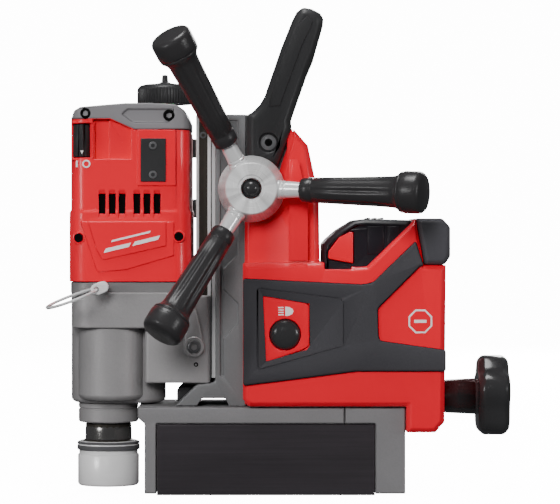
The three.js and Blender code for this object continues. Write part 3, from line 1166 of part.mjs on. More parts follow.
add("base_casting", baseCasting(), BASE_GREY, 0.6, 0.3);
add("base_rear_casting", baseRearCasting(), BASE_GREY, 0.6, 0.3);
add("magnet_body", magnetBody(), 0x2c2a2d, 0.5, 0.4);
add("column", column(), 0x89898b, 0.55, 0.4);
add("gear_case", gearCase(), 0x8e8c8d, 0.6, 0.3);
add("gear_case_cover", gearCaseCover(), CAST, 0.5, 0.5);
add("quill_collar", quillCollar(), CAST, 0.5, 0.5);
add("slide_bar", slideBar(), 0x5a5650, 0.4, 0.8);
add("feed_rack", feedRack(), STEEL, 0.35, 0.9);
add("feed_shaft", feedShaft(), STEEL, 0.35, 0.9);
add("feed_hub", feedHub(), 0x9a9a9d, 0.3, 0.9);
add("hub_cap", hubCap(), BLACK, 0.4);
add("spindle", spindle(), STEEL, 0.35, 0.9);
add("spindle_gear", spindleGear(), STEEL, 0.4, 0.9);
add("spindle_bearing_lower", spindleBearing(CASE_BOTTOM + 2), STEEL, 0.3, 0.9);
add("spindle_bearing_upper", spindleBearing(LOBE_TOP - BEARING_WIDTH - 1), STEEL, 0.3, 0.9);
add("arbor_sleeve", arborSleeve(), 0xd6d0d0, 0.3, 0.9);
add("idler_one", idlerOne(), STEEL, 0.4, 0.9);
add("idler_two", idlerTwo(), STEEL, 0.4, 0.9);
add("motor_rotor", motorRotor(), 0x8a6a4a, 0.5, 0.6);
add("motor_stator", motorStator(), 0x6b6b70, 0.5, 0.7);
add("motor_bearing", motorBearing(), STEEL, 0.3, 0.9);
add("motor_top_cap", motorTopCap(), 0x7b797c, 0.6);
add("access_plate", accessPlate(), 0x323335, 0.5);
add("power_dial", powerDial(), BLACK, 0.45);
add("lock_pin", lockPin(), STEEL, 0.3, 0.9);
add("pull_ring", pullRing(), STEEL, 0.25, 1);
add("bottle_bracket", bottleBracket(), BLACK, 0.5);
add("coolant_bottle", coolantBottle(), 0xe8e8e4, 0.35);
add("bottle_cap", bottleCap(), BLACK, 0.5);
add("corner_guard", cornerGuard(), 0x46454a, 0.8);
add("light_panel", lightPanel(), RED, 0.45);
add("light_button", lightButton(), BLACK, 0.45);
add("control_board", controlBoard(), 0x1f6a45, 0.5);
add("battery_terminal", batteryTerminal(), BLACK, 0.5);
add("battery_pack", batteryPack(), 0x1f1b21, 0.5);
add("magnet_rotor", magnetRotor(), STEEL, 0.4, 0.8);
add("magnet_knob", magnetKnob(), 0x272727, 0.6);
add("carry_handle", carryHandle(), 0x444446, 0.7);
add("lamp_housing", lampHousing(), BLACK, 0.5);

[-1, 1].forEach((side, i) => {
  const name = NAMES[i];
  add("way_" + name, way(side), STEEL, 0.3, 0.9);
  add("feed_bush_" + name, feedBush(side), BRONZE, 0.4, 0.8);
  add("motor_shell_" + name, motorShell(side), RED, 0.45);
  add("housing_" + name, housing(side), RED, 0.45);
  add("overmold_" + name, overmold(side), DARK, 0.85);
  add("battery_latch_" + name, latchBody(side, 0), RED, 0.45);
  add("handle_screw_" + name, handleScrew(side), 0x2a2a2c, 0.4, 0.8);
});

for (let i = 0; i < LEVERS; i += 1) {
  add("lever_rod_" + (i + 1), leverRod(i), STEEL, 0.3, 0.9);
  add("lever_grip_" + (i + 1), leverGrip(i), 0x2e2c2d, 0.6);
}

export default press;
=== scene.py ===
"""Magnetic drill press: the finished look of the machine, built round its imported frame."""
import math
from math import cos, pi, radians, sin

import bmesh
import bpy
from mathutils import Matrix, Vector


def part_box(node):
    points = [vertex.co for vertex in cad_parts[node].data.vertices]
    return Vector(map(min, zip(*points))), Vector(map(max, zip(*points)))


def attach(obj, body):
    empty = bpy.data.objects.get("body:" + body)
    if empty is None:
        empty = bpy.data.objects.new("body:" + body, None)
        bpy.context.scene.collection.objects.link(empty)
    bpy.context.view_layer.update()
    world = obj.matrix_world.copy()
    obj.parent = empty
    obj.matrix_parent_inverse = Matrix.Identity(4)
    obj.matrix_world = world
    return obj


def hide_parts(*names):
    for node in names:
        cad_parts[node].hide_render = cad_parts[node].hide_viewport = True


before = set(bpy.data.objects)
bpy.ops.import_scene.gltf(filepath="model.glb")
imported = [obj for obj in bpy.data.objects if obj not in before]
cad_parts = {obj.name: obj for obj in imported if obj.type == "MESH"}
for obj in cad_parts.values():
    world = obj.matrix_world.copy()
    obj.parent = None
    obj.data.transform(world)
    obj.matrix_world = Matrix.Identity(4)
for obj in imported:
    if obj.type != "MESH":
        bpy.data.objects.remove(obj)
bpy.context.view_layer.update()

bl_info = {
    "name": "Magnetic Drill Press",
    "version": (1, 0, 0),
    "blender": (4, 5, 0),
    "location": "3D View > Sidebar > Drill Press",
    "description": "Builds a cordless magnetic drill press with procedural finishes",
    "category": "Add Mesh",
}

MM = 0.001


def low(node):
    return Vector(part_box(node)[0])


def high(node):
    return Vector(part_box(node)[1])


def middle(*nodes):
    """Centre of the box round one or more nodes."""
    lo = Vector([min(low(n)[i] for n in nodes) for i in range(3)])
    hi = Vector([max(high(n)[i] for n in nodes) for i in range(3)])
    return (lo + hi) / 2


FEED = Vector((-9.6, -57.8, 206.3))      # where the levers' lines meet, in millimetres
LEVER_TILT = radians(24)
LEVER_PHASE = radians(-1.7)


# ---------------------------------------------------------------- sizes and colours


def colour(name, rgb, words):
    return bpy.props.FloatVectorProperty(
        name=name, description=words, subtype="COLOR", size=3, min=0, max=1, default=rgb)


def length(name, value, words):
    return bpy.props.FloatProperty(
        name=name, description=words, default=value, min=0, unit="LENGTH", precision=4)


def share(name, value, words):
    return bpy.props.FloatProperty(
        name=name, description=words, default=value, min=0, max=1, subtype="FACTOR")


class PressColours(bpy.types.PropertyGroup):
    """Base colours of the machine's finishes."""
    red: colour("Red", (0.82, 0.004, 0.022), "Moulded housings")
    gear_grey: colour("Gear case", (0.345, 0.335, 0.338), "Cast gear case and quill")
    column_grey: colour("Column", (0.19, 0.19, 0.194), "Cast column")
    base_grey: colour("Base", (0.215, 0.21, 0.215), "Base castings")
    cap_grey: colour("Top cap", (0.2, 0.193, 0.202), "Motor's top cap")
    magnet: colour("Magnet", (0.034, 0.030, 0.034), "Pole block")
    steel: colour("Steel", (0.97, 0.955, 0.95), "Ground and turned steel")
    oiled: colour("Oiled steel", (0.07, 0.062, 0.052), "Slide and screws")
    rubber: colour("Overmould", (0.043, 0.042, 0.047), "Soft dark covers")
    black: colour("Black plastic", (0.026, 0.026, 0.027), "Handle, dial and knob")
    grip: colour("Grips", (0.026, 0.025, 0.026), "Lever grips")


class PressSizes(bpy.types.PropertyGroup):
    """Sizes of the details that Blender adds."""
    edge: length("Edge round", 0.7 * MM, "Round on the edges of castings and mouldings")
    soft_edge: length("Soft edge", 1.6 * MM, "Round on the carry handle's edges")
    grain: share("Grain", 0.35, "Strength of the moulded grain")


# ---------------------------------------------------------------- finishes


class Value:
    """A socket that varies over a surface, with Python's arithmetic."""

    def __init__(self, finish, socket):
        self.finish = finish
        self.socket = socket

    def maths(self, operation, first, second=0.0):
        return self.finish.node("ShaderNodeMath", {"operation": operation}, {0: first, 1: second})

    def __add__(self, other):
        return self.maths("ADD", self, other)

    __radd__ = __add__

    def __sub__(self, other):
        return self.maths("SUBTRACT", self, other)

    def __rsub__(self, other):
        return self.maths("SUBTRACT", other, self)

    def __mul__(self, other):
        return self.maths("MULTIPLY", self, other)

    __rmul__ = __mul__


class Finish:
    """A procedural material round one Principled shader."""

    def __init__(self, name, rgb, roughness, metallic=0.0, coat=0.0):
        self.material = bpy.data.materials.new(name)
        self.material.use_nodes = True
        self.tree = self.material.node_tree
        self.shader = self.tree.nodes["Principled BSDF"]
        self.rgb = (*rgb, 1.0)
        self.roughness = roughness
        self.set(**{"Base Color": self.rgb, "Roughness": roughness, "Metallic": metallic,
                    "Coat Weight": coat})
        if coat:
            self.set(**{"Coat Roughness": 0.12})
        self.place = self.node("ShaderNodeTexCoord", {}, {}, "Object")
        self.material.diffuse_color = self.rgb

    def set(self, **inputs):
        for name, value in inputs.items():
            self.feed(self.shader.inputs[name], value)

    def feed(self, socket, value):
        if isinstance(value, Value):
            self.tree.links.new(value.socket, socket)
        else:
            socket.default_value = value

    def node(self, kind, settings, inputs, output=0):
        """Adds a node: its settings first, then its sockets; returns one output."""
        made = self.tree.nodes.new(kind)
        for name, value in settings.items():
            setattr(made, name, value)
        for name, value in inputs.items():
            self.feed(made.inputs[name], value)
        return Value(self, made.outputs[output])

    def stretched(self, scale, turn=(0, 0, 0)):
        return self.node("ShaderNodeMapping", {}, {"Vector": self.place, "Scale": scale, "Rotation": turn})

    def noise(self, scale, detail=3.0, stretch=None, rough=0.55):
        where = self.stretched(stretch) if stretch else self.place
        return self.node("ShaderNodeTexNoise", {}, {
            "Vector": where, "Scale": scale, "Detail": detail, "Roughness": rough})

    def cells(self, scale):
        return self.node("ShaderNodeTexVoronoi", {"feature": "F1"}, {
            "Vector": self.place, "Scale": scale}, "Distance")

    def between(self, factor, first, second):
        return self.node("ShaderNodeMix", {"data_type": "RGBA"}, {0: factor, 6: first, 7: second}, 2)

    def mottle(self, amount, scale=18.0):
        """Slow, faint changes of shade and gloss over the surface."""
        cloud = self.noise(scale, 4.0)
        dark = tuple(c * (1 - amount) for c in self.rgb[:3]) + (1.0,)
        light = tuple(min(1.0, c * (1 + amount)) for c in self.rgb[:3]) + (1.0,)
        self.set(**{
            "Base Color": self.between(cloud, dark, light),
            "Roughness": cloud * (0.9 * amount) + (self.roughness - 0.45 * amount)})
        return cloud

    def bump(self, height, strength, distance=0.0002):
        self.set(Normal=self.node("ShaderNodeBump", {}, {
            "Strength": strength, "Distance": distance, "Height": height}))


def moulded(name, rgb, roughness, grain=900.0, strength=0.25, coat=0.0, amount=0.06):
    """Moulded plastic: an even fine grain over a faint change of shade."""
    finish = Finish(name, rgb, roughness, coat=coat)
    finish.mottle(amount)
    finish.bump(finish.noise(grain, 2.0) + finish.cells(grain * 0.6) * 0.5, strength, 0.00012)
    return finish


def cast_metal(name, rgb, roughness, metallic=0.35, strength=0.5, scale=420.0):
    """Sand cast or bead blasted metal under thin paint: small pits and speckle."""
    finish = Finish(name, rgb, roughness, metallic=metallic)
    cloud = finish.noise(26.0, 5.0)
    speck = finish.noise(scale * 2.2, 2.0)
    dark = tuple(c * 0.8 for c in rgb) + (1.0,)
    light = tuple(min(1, c * 1.22) for c in rgb) + (1.0,)
    finish.set(**{
        "Base Color": finish.between(cloud * 0.55 + speck * 0.45, dark, light),
        "Roughness": speck * 0.18 + (roughness - 0.09)})
    finish.bump(finish.noise(scale, 4.0, rough=0.65) + finish.cells(scale * 0.7) * 0.6, strength, 0.00025)
    return finish


def brushed(name, rgb, roughness, along=(1, 1, 14), strength=0.22, metallic=0.6):
    """Turned or ground steel: fine lines across the stretched direction."""
    finish = Finish(name, rgb, roughness, metallic=metallic)
    lines = finish.noise(60.0, 6.0, stretch=along, rough=0.7)
    cloud = finish.noise(22.0, 3.0)
    dark = tuple(c * 0.82 for c in rgb) + (1.0,)
    light = tuple(min(1, c * 1.12) for c in rgb) + (1.0,)
    finish.set(**{
        "Base Color": finish.between(lines * 0.6 + cloud * 0.4, dark, light),
        "Roughness": lines * 0.16 + cloud * 0.08 + (roughness - 0.12)})
    finish.bump(lines, strength, 0.00008)
    return finish


def spun(name, rgb, centre):
    """Faced steel: fine rings round the feed shaft, and radial streaks in the base colour as a painted
    reflection.
    """
    finish = Finish(name, rgb, 0.3, metallic=0.3)
    where = finish.node("ShaderNodeMapping", {"vector_type": "TEXTURE"}, {
        "Vector": finish.place, "Location": tuple(centre * MM)})
    rings = finish.node("ShaderNodeTexWave", {"wave_type": "RINGS", "rings_direction": "Y"}, {
        "Vector": where, "Scale": 420.0, "Distortion": 1.5, "Detail": 2.0})
    around = finish.node("ShaderNodeTexGradient", {"gradient_type": "RADIAL"}, {"Vector": finish.node(
        "ShaderNodeMapping", {"vector_type": "POINT"}, {"Vector": where, "Rotation": (pi / 2, 0, 0)})})
    # Radial streaks by angle round the shaft, lighter and darker in the base colour: a painted reflection of
    # the faced steel's sparkle.
    painted_sheen_rays = finish.node("ShaderNodeTexNoise", {"noise_dimensions": "1D"},
                       {"W": around * 9.0, "Scale": 1.0, "Detail": 4.0})
    finish.set(**{
        "Base Color": finish.between(painted_sheen_rays * 2.6 + rings * 0.3 - 0.85, tuple(v * 0.55 for v in rgb) + (1,),
                                     tuple(min(1, v * 1.12) for v in rgb) + (1,)),
        "Roughness": rings * 0.1 + 0.26})
    finish.bump(rings + finish.noise(900.0) * 0.4, 0.3, 0.00006)
    return finish


def laminated(name, rgb):
    """Pole block: blackened steel with faint level grinding marks."""
    finish = Finish(name, rgb, 0.5, metallic=0.45)
    lines = finish.noise(9.0, 8.0, stretch=(1, 1, 60), rough=0.8)
    blotch = finish.noise(30.0, 4.0, stretch=(0.4, 0.4, 2))
    dark = tuple(c * 0.55 for c in rgb) + (1.0,)
    light = tuple(c * 2.3 for c in rgb) + (1.0,)
    finish.set(**{
        "Base Color": finish.between(lines * 0.7 + blotch * 0.3, dark, light),
        "Roughness": blotch * 0.25 + 0.35})
    finish.bump(lines, 0.35, 0.00015)
    return finish


def frosted(name, rgb):
    """Translucent bottle plastic."""
    finish = Finish(name, rgb, 0.38)
    finish.mottle(0.03)
    finish.set(**{"Subsurface Weight": 0.35, "Subsurface Scale": 0.004, "Transmission Weight": 0.25})
    finish.bump(finish.noise(300.0), 0.1)
    return finish


def wound(name, rgb):
    """Laminated core with copper windings, as bands round the motor's axis."""
    finish = Finish(name, rgb, 0.35, metallic=0.9)
    bands = finish.node("ShaderNodeTexWave", {"bands_direction": "Z"}, {
        "Vector": finish.place, "Scale": 260.0, "Distortion": 0.4})
    finish.set(**{"Base Color": finish.between(bands, (0.16, 0.15, 0.15, 1), (*rgb, 1))})
    finish.bump(bands, 0.4)
    return finish


def circuit(name, rgb):
    """Printed board: green lacquer with a fine copper pattern under it."""
    finish = Finish(name, rgb, 0.3, coat=0.5)
    tracks = finish.node("ShaderNodeTexBrick", {"offset": 0.5}, {
        "Vector": finish.place, "Color1": (*rgb, 1), "Color2": (*(c * 0.8 for c in rgb), 1),
        "Mortar": (0.1, 0.36, 0.16, 1), "Scale": 190.0})
    finish.set(**{"Base Color": tracks})
    finish.bump(finish.noise(500.0), 0.15)
    return finish


def matt(name, rgb):
    """Near-black matt paint, as painted shade inside a deep hole."""
    finish = Finish(name, rgb, 0.9)
    finish.mottle(0.3)
    finish.set(**{"Specular IOR Level": 0.05})
    return finish


FINISHES = {}


def make_finishes(c, grain):
    """Every finish of the machine, by name."""
    FINISHES.update({
        "red": moulded("moulded_red", c.red, 0.34, 1100.0, 0.16 * grain / 0.35, coat=0.25, amount=0.05),
        "gear_cast": cast_metal("gear_casting", c.gear_grey, 0.46, strength=0.5),
        "column_cast": cast_metal("column_casting", c.column_grey, 0.44, strength=0.38, scale=520.0),
        # The band's finish is the gear case's grey at 0.72: a darker copy of the same casting paint, as
        # painted shade on the band.
        "band_painted_shade": cast_metal("band_painted_shade_casting", tuple(v * 0.72 for v in c.gear_grey), 0.4, strength=0.38,
                                scale=520.0),
        "base_cast": cast_metal("base_casting", c.base_grey, 0.5, metallic=0.2, strength=0.35, scale=600.0),
        "top_cap": moulded("cap_grey", c.cap_grey, 0.46, 800.0, 0.4 * grain / 0.35),
        "magnet": laminated("pole_block", c.magnet),
        "turned": brushed("turned_steel", c.steel, 0.3, along=(1, 1, 20), metallic=0.22),
        "chrome": brushed("bright_neck", (0.34, 0.33, 0.32), 0.2, along=(1, 1, 20), metallic=0.95),
        "gloss": moulded("gloss_black", c.black, 0.24, 1000.0, 0.2, coat=0.3, amount=0.1),
        "polished": brushed("polished_steel", tuple(min(1, v * 1.15) for v in c.steel), 0.2,
                            along=(1, 1, 1), strength=0.08,
                            metallic=0.4),
        "ground": brushed("ground_steel", c.steel, 0.34, along=(20, 20, 1)),
        "oiled": brushed("oiled_steel", c.oiled, 0.36, along=(14, 14, 1), metallic=0.7),
        "rubber": moulded("overmould", c.rubber, 0.66, 1500.0, 0.8 * grain / 0.35, amount=0.12),
        "black": moulded("black_plastic", c.black, 0.42, 1000.0, 0.4 * grain / 0.35, amount=0.12),
        "grip": moulded("grip_plastic", c.grip, 0.31, 1300.0, 0.5 * grain / 0.35, amount=0.1),
        "bottle": frosted("bottle_plastic", (0.82, 0.83, 0.82)),
        "bronze": brushed("bronze", (0.5, 0.32, 0.13), 0.34),
        "core": wound("motor_core", (0.42, 0.2, 0.09)),
        "board": circuit("circuit_board", (0.012, 0.11, 0.045)),
        "bolt": brushed("black_bolt", (0.17, 0.17, 0.175), 0.3, metallic=0.5),
        "spun": spun("spun_steel", c.steel, FEED),
        "print": moulded("white_print", (0.8, 0.8, 0.8), 0.5, 700.0, 0.1),
        # Near-black painted shade for the insides of holes, slots and sockets.
        "dark": matt("hole_painted_shade", (0.004, 0.004, 0.004)),
        "pack": moulded("battery_black", (0.013, 0.011, 0.015), 0.36, 900.0, 0.35),
        "guard": moulded("guard_rubber", (0.056, 0.055, 0.062), 0.62, 1400.0, 0.7),
    })


# ---------------------------------------------------------------- shaping


def moved(bm, shift=(0, 0, 0), turn=None, verts=None):
    """Turns and then shifts vertices, in millimetres."""
    chosen = list(bm.verts) if verts is None else list(verts)
    if turn is not None:
        bmesh.ops.rotate(bm, cent=(0, 0, 0), matrix=turn, verts=chosen)
    bmesh.ops.translate(bm, vec=Vector(shift) * MM, verts=chosen)
    return bm


def rounded_edges(bm, edges, size, steps=2):
    if size and edges:
        bmesh.ops.bevel(bm, geom=list(edges), offset=size * MM, offset_type="OFFSET", segments=steps,
                        affect="EDGES", profile=0.5, material=-1, clamp_overlap=True)


def closed(bm):
    bmesh.ops.remove_doubles(bm, verts=bm.verts, dist=0.004 * MM)
    bmesh.ops.holes_fill(bm, edges=bm.edges)
    bmesh.ops.recalc_face_normals(bm, faces=bm.faces)
    return bm


def slab(outline, near, far, edge=0.0, steps=2):
    """A plate with its outline in X and Z, from Y near to Y far, rounded on its near face."""
    bm = bmesh.new()
    face = bm.faces.new([bm.verts.new((x * MM, far * MM, z * MM)) for x, z in outline])
    grown = bmesh.ops.extrude_face_region(bm, geom=[face])["geom"]
    front = [g for g in grown if isinstance(g, bmesh.types.BMVert)]
    bmesh.ops.translate(bm, vec=(0, (near - far) * MM, 0), verts=front)
    closed(bm)
    front = [v for v in bm.verts if abs(v.co.y - near * MM) < 1e-7]
    rim = [e for e in bm.edges if e.verts[0] in front and e.verts[1] in front
           and abs(e.verts[0].co.y - e.verts[1].co.y) < 1e-7]
    rounded_edges(bm, rim, edge, steps)
    return bm


def block(x0, x1, half, z0, z1, corner, sides=7):
    """A box with round upright corners, the same on both sides of Y."""
    bm = bmesh.new()
    bmesh.ops.create_cube(bm, size=1.0)
    bmesh.ops.scale(bm, vec=((x1 - x0) * MM, 2 * half * MM, (z1 - z0) * MM), verts=bm.verts)
    moved(bm, ((x0 + x1) / 2, 0, (z0 + z1) / 2))
    if corner:
        upright = [e for e in bm.edges if abs(e.verts[0].co.z - e.verts[1].co.z) > 1e-5]
        rounded_edges(bm, upright, corner, sides)
    bm.normal_update()
    return bm


def bezel(outer, inner, y_outer, y_inner, thick=0.8):
    """A sloping frame between two outlines with the same number of corners."""
    bm = bmesh.new()
    loops = []
    for outline, y in ((outer, y_outer), (inner, y_inner)):
        corners = [bm.verts.new((x * MM, y * MM, z * MM)) for x, z in outline]
        loops.append([bm.edges.new(pair) for pair in zip(corners, corners[1:] + corners[:1])])
    bmesh.ops.bridge_loops(bm, edges=loops[0] + loops[1])
    bmesh.ops.recalc_face_normals(bm, faces=bm.faces)
    if sum(f.normal.y for f in bm.faces) > 0:
        bmesh.ops.reverse_faces(bm, faces=bm.faces)
    bmesh.ops.solidify(bm, geom=bm.faces[:], thickness=thick * MM)
    return bm


def turned(profile, steps=48, start=(0, 0, 0), toward=(0, 0, 1)):
    """A closed lathe piece: (distance along, radius) pairs spun round a line."""
    bm = bmesh.new()
    points = [bm.verts.new((r * MM, 0, z * MM)) for z, r in profile]
    edges = [bm.edges.new(pair) for pair in zip(points, points[1:])]
    bmesh.ops.spin(bm, geom=points + edges, cent=(0, 0, 0), axis=(0, 0, 1), angle=2 * pi,
                   steps=steps, use_merge=True, use_duplicate=False)
    closed(bm)
    aim = Vector(toward).normalized().to_track_quat("Z", "Y").to_matrix()
    return moved(bm, start, aim)


def joined(*parts):
    """One bmesh from several."""
    whole = bmesh.new()
    for part in parts:
        mesh = bpy.data.meshes.new("joining")
        part.to_mesh(mesh)
        part.free()
        whole.from_mesh(mesh)
        bpy.data.meshes.remove(mesh)
    return whole


def copied(node, flat=2.0):
    """A merged copy of a CAD node's mesh, with its flat faces whole again."""
    bm = bmesh.new()
    bm.from_mesh(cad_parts[node].data)
    bmesh.ops.remove_doubles(bm, verts=bm.verts, dist=0.002 * MM)
    bmesh.ops.dissolve_limit(bm, angle_limit=radians(flat), use_dissolve_boundaries=False,
                             verts=bm.verts, edges=bm.edges, delimit=set())
    return bm


def inside(outline, x, z):
    """Whether a point is inside an outline in X and Z, in millimetres."""
    found = False
    for (ax, az), (bx, bz) in zip(outline, outline[1:] + outline[:1]):
        if (az > z) != (bz > z) and x < (bx - ax) * (z - az) / (bz - az) + ax:
            found = not found
    return found


def scored(bm, outline, facing):
    """Cuts an outline into the faces on one side and returns the faces inside it."""
    lo = Vector((min(x for x, z in outline), 0, min(z for x, z in outline)))
    hi = Vector((max(x for x, z in outline), 0, max(z for x, z in outline)))

    def nearby():
        chosen = set()
        for face in bm.faces:
            at = face.normal
            if at.y * facing > 0.15:
                xs = [v.co.x / MM for v in face.verts]
                zs = [v.co.z / MM for v in face.verts]
                if max(xs) > lo.x and min(xs) < hi.x and max(zs) > lo.z and min(zs) < hi.z:
                    chosen.add(face)
        return list(chosen)

    bm.normal_update()
    for (ax, az), (bx, bz) in zip(outline, outline[1:] + outline[:1]):
        faces = nearby()
        edges = list({e for f in faces for e in f.edges})
        verts = list({v for f in faces for v in f.verts})
        bmesh.ops.bisect_plane(bm, geom=faces + edges + verts, dist=1e-6, plane_co=(ax * MM, 0, az * MM),
                               plane_no=Vector((bz - az, 0, ax - bx)).normalized())
    bm.normal_update()
    return [f for f in nearby() if inside(outline, f.calc_center_median().x / MM,
                                          f.calc_center_median().z / MM)]


def lifted(bm, faces, amount, facing):
    """Raises faces out of the side they are on, or sinks them where amount is below nought."""
    grown = bmesh.ops.extrude_face_region(bm, geom=faces)["geom"]
    verts = [g for g in grown if isinstance(g, bmesh.types.BMVert)]
    bmesh.ops.translate(bm, vec=(0, facing * amount * MM, 0), verts=verts)
    bmesh.ops.delete(bm, geom=[f for f in faces if f.is_valid], context="FACES")
    bm.normal_update()
    return verts


def relief(bm, outline, amount, facing=-1):
    return lifted(bm, scored(bm, outline, facing), amount, facing)


def fitted(name, bm, finish, body, stands_for=(), edge=0.0, steps=2, limit=32.0, smooth=38.0):
    """Makes a bmesh a finished piece: its material, rounded edges and body, and hides the CAD nodes that it
    stands for.
    """
    mesh = bpy.data.meshes.new(name)
    bm.to_mesh(mesh)
    bm.free()
    piece = bpy.data.objects.new(name, mesh)
    bpy.context.scene.collection.objects.link(piece)
    mesh.materials.append(FINISHES[finish].material)
    for face in mesh.polygons:
        face.use_smooth = True
    if edge:
        bevel = piece.modifiers.new("edge", "BEVEL")
        bevel.width = edge * MM
        bevel.segments = steps
        bevel.limit_method = "ANGLE"
        bevel.angle_limit = radians(limit)
        bevel.harden_normals = True
        bevel.use_clamp_overlap = False
        bevel.miter_outer = "MITER_ARC"
    else:
        mesh.set_sharp_from_angle(angle=radians(smooth))
    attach(piece, body)
    if stands_for:
        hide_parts(*stands_for)
    return piece


def finished(node, finish):
    """Gives a CAD node that keeps its own mesh a better material."""
    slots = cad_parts[node].material_slots
    for slot in slots:
        slot.material = FINISHES[finish].material


def stand_ins(rows, body):
    """Copies of CAD nodes with rounded edges, which stand for them."""
    for node, finish, edge in rows:
        fitted(node + "_skin", copied(node), finish, body, (node,), default_edge if edge is None else edge)


def screw(radius, x, y, z, toward=(0, -1, 0), socket=0.56, height=1.2):
    """A socket screw's head with a six-sided hollow, its face at the given place."""
    bm = bmesh.new()
    bmesh.ops.create_circle(bm, cap_ends=True, segments=24, radius=radius * MM)
    face = list(bm.faces)[0]
    grown = bmesh.ops.extrude_face_region(bm, geom=[face])["geom"]
    bmesh.ops.translate(bm, vec=(0, 0, height * MM),
                        verts=[g for g in grown if isinstance(g, bmesh.types.BMVert)])
    closed(bm)
    top = max(bm.faces, key=lambda f: f.calc_center_median().z)
    rounded_edges(bm, top.edges, radius * 0.14)
    top = max((f for f in bm.faces if len(f.verts) > 12), key=lambda f: f.calc_center_median().z)
    bmesh.ops.inset_region(bm, faces=[top], thickness=radius * (0.86 - socket) * MM)
    for i, vert in enumerate(top.verts):
        if i % 4:
            first, last = top.verts[i - i % 4], top.verts[(i - i % 4 + 4) % len(top.verts)]
            vert.co = first.co.lerp(last.co, (i % 4) / 4)
    sunk = bmesh.ops.extrude_face_region(bm, geom=[top])["geom"]
    bmesh.ops.translate(bm, vec=(0, 0, -height * 0.8 * MM),
                        verts=[g for g in sunk if isinstance(g, bmesh.types.BMVert)])
    bmesh.ops.delete(bm, geom=[top], context="FACES_ONLY") if top.is_valid else None
    bmesh.ops.translate(bm, vec=(0, 0, -height * MM), verts=bm.verts)
    aim = Vector(toward).normalized().to_track_quat("Z", "Y").to_matrix()
    return moved(bm, (x, y, z), aim)


# ---------------------------------------------------------------- places

SPINDLE = middle("spindle") / MM
BUTTON = middle("light_button") / MM


def lever_lines():
    """Each lever's name and the direction that it points in."""
    for number in (1, 2, 3):
        centre = middle(f"lever_grip_{number}") / MM - FEED
        seen = math.atan2(centre.z, centre.x)
        turn = round((seen - LEVER_PHASE) / radians(120)) * radians(120) + LEVER_PHASE
        yield number, Vector((cos(turn) * cos(LEVER_TILT), -sin(LEVER_TILT), sin(turn) * cos(LEVER_TILT)))


def ring_of(count):
    """Evenly spaced angles round a circle."""
    return [2 * pi * i / count for i in range(count)]


# ---------------------------------------------------------------- operators


class DRILLPRESS_OT_finishes(bpy.types.Operator):
    """Makes the procedural materials"""
    bl_idname = "drillpress.finishes"
    bl_label = "Finishes"
    bl_options = {"REGISTER", "UNDO"}

    def execute(self, context):
        sizes = context.scene.press_sizes
        make_finishes(context.scene.press_colours, sizes.grain)
        return {"FINISHED"}


class DRILLPRESS_OT_castings(bpy.types.Operator):
    """Column, base castings, magnet and ways"""
    bl_idname = "drillpress.castings"
    bl_label = "Castings"
    bl_options = {"REGISTER", "UNDO"}

    def execute(self, context):
        sizes = context.scene.press_sizes
        edge = sizes.edge / MM
        stand_ins((
            ("base_casting", "base_cast", edge), ("base_rear_casting", "base_cast", edge),
            ("magnet_body", "magnet", 0.4),
        ), "stand")
        self.column(edge)
        for node in ("way_near", "way_far"):
            finished(node, "ground")
        for node in ("feed_bush_near", "feed_bush_far"):
            finished(node, "bronze")
        return {"FINISHED"}

    def column(self, edge):
        """The column, its side hollows as cast."""
        fitted("column_skin", copied("column"), "column_cast", "stand", ("column",), edge)


class DRILLPRESS_OT_handle(bpy.types.Operator):
    """Carry handle and its screws"""
    bl_idname = "drillpress.handle"
    bl_label = "Carry handle"
    bl_options = {"REGISTER", "UNDO"}

    def execute(self, context):
        sizes = context.scene.press_sizes
        fitted("carry_handle_skin", copied("carry_handle"), "black", "stand", ("carry_handle",),
               sizes.soft_edge / MM, 3)
        self.ribs()
        for side, node in ((-1, "handle_screw_near"), (1, "handle_screw_far")):
            at = middle(node) / MM
            face = (low(node) if side < 0 else high(node)).y / MM
            fitted(node + "_head", screw(5.2, at.x, face + 0.8 * side, at.z, (0, side, 0), 0.5, 0.8),
                   "bolt", "stand")
            # The socket is a near-black head inside the screw's own: painted shade in the socket.
            fitted(node + "_socket", screw(2.7, at.x, face + 0.9 * side, at.z, (0, side, 0), 0.5, 0.6),
                   "dark", "stand")
            finished(node, "black")
        return {"FINISHED"}

    def ribs(self):
        """A long raised spine up each arm."""
        for name, near in (("near", -46.0), ("far", 46.0)):
            out = near + math.copysign(0.9, near)
            spine = ((2.2, 262), (9.5, 262), (24.5, 303), (31.8, 319), (27.4, 322.4), (20.5, 316),
                     (13.5, 300.5), (6.0, 280.5))
            fitted(f"handle_spine_{name}", slab(spine, out, near - math.copysign(0.6, near), 0.8, 3),
                   "black", "stand")


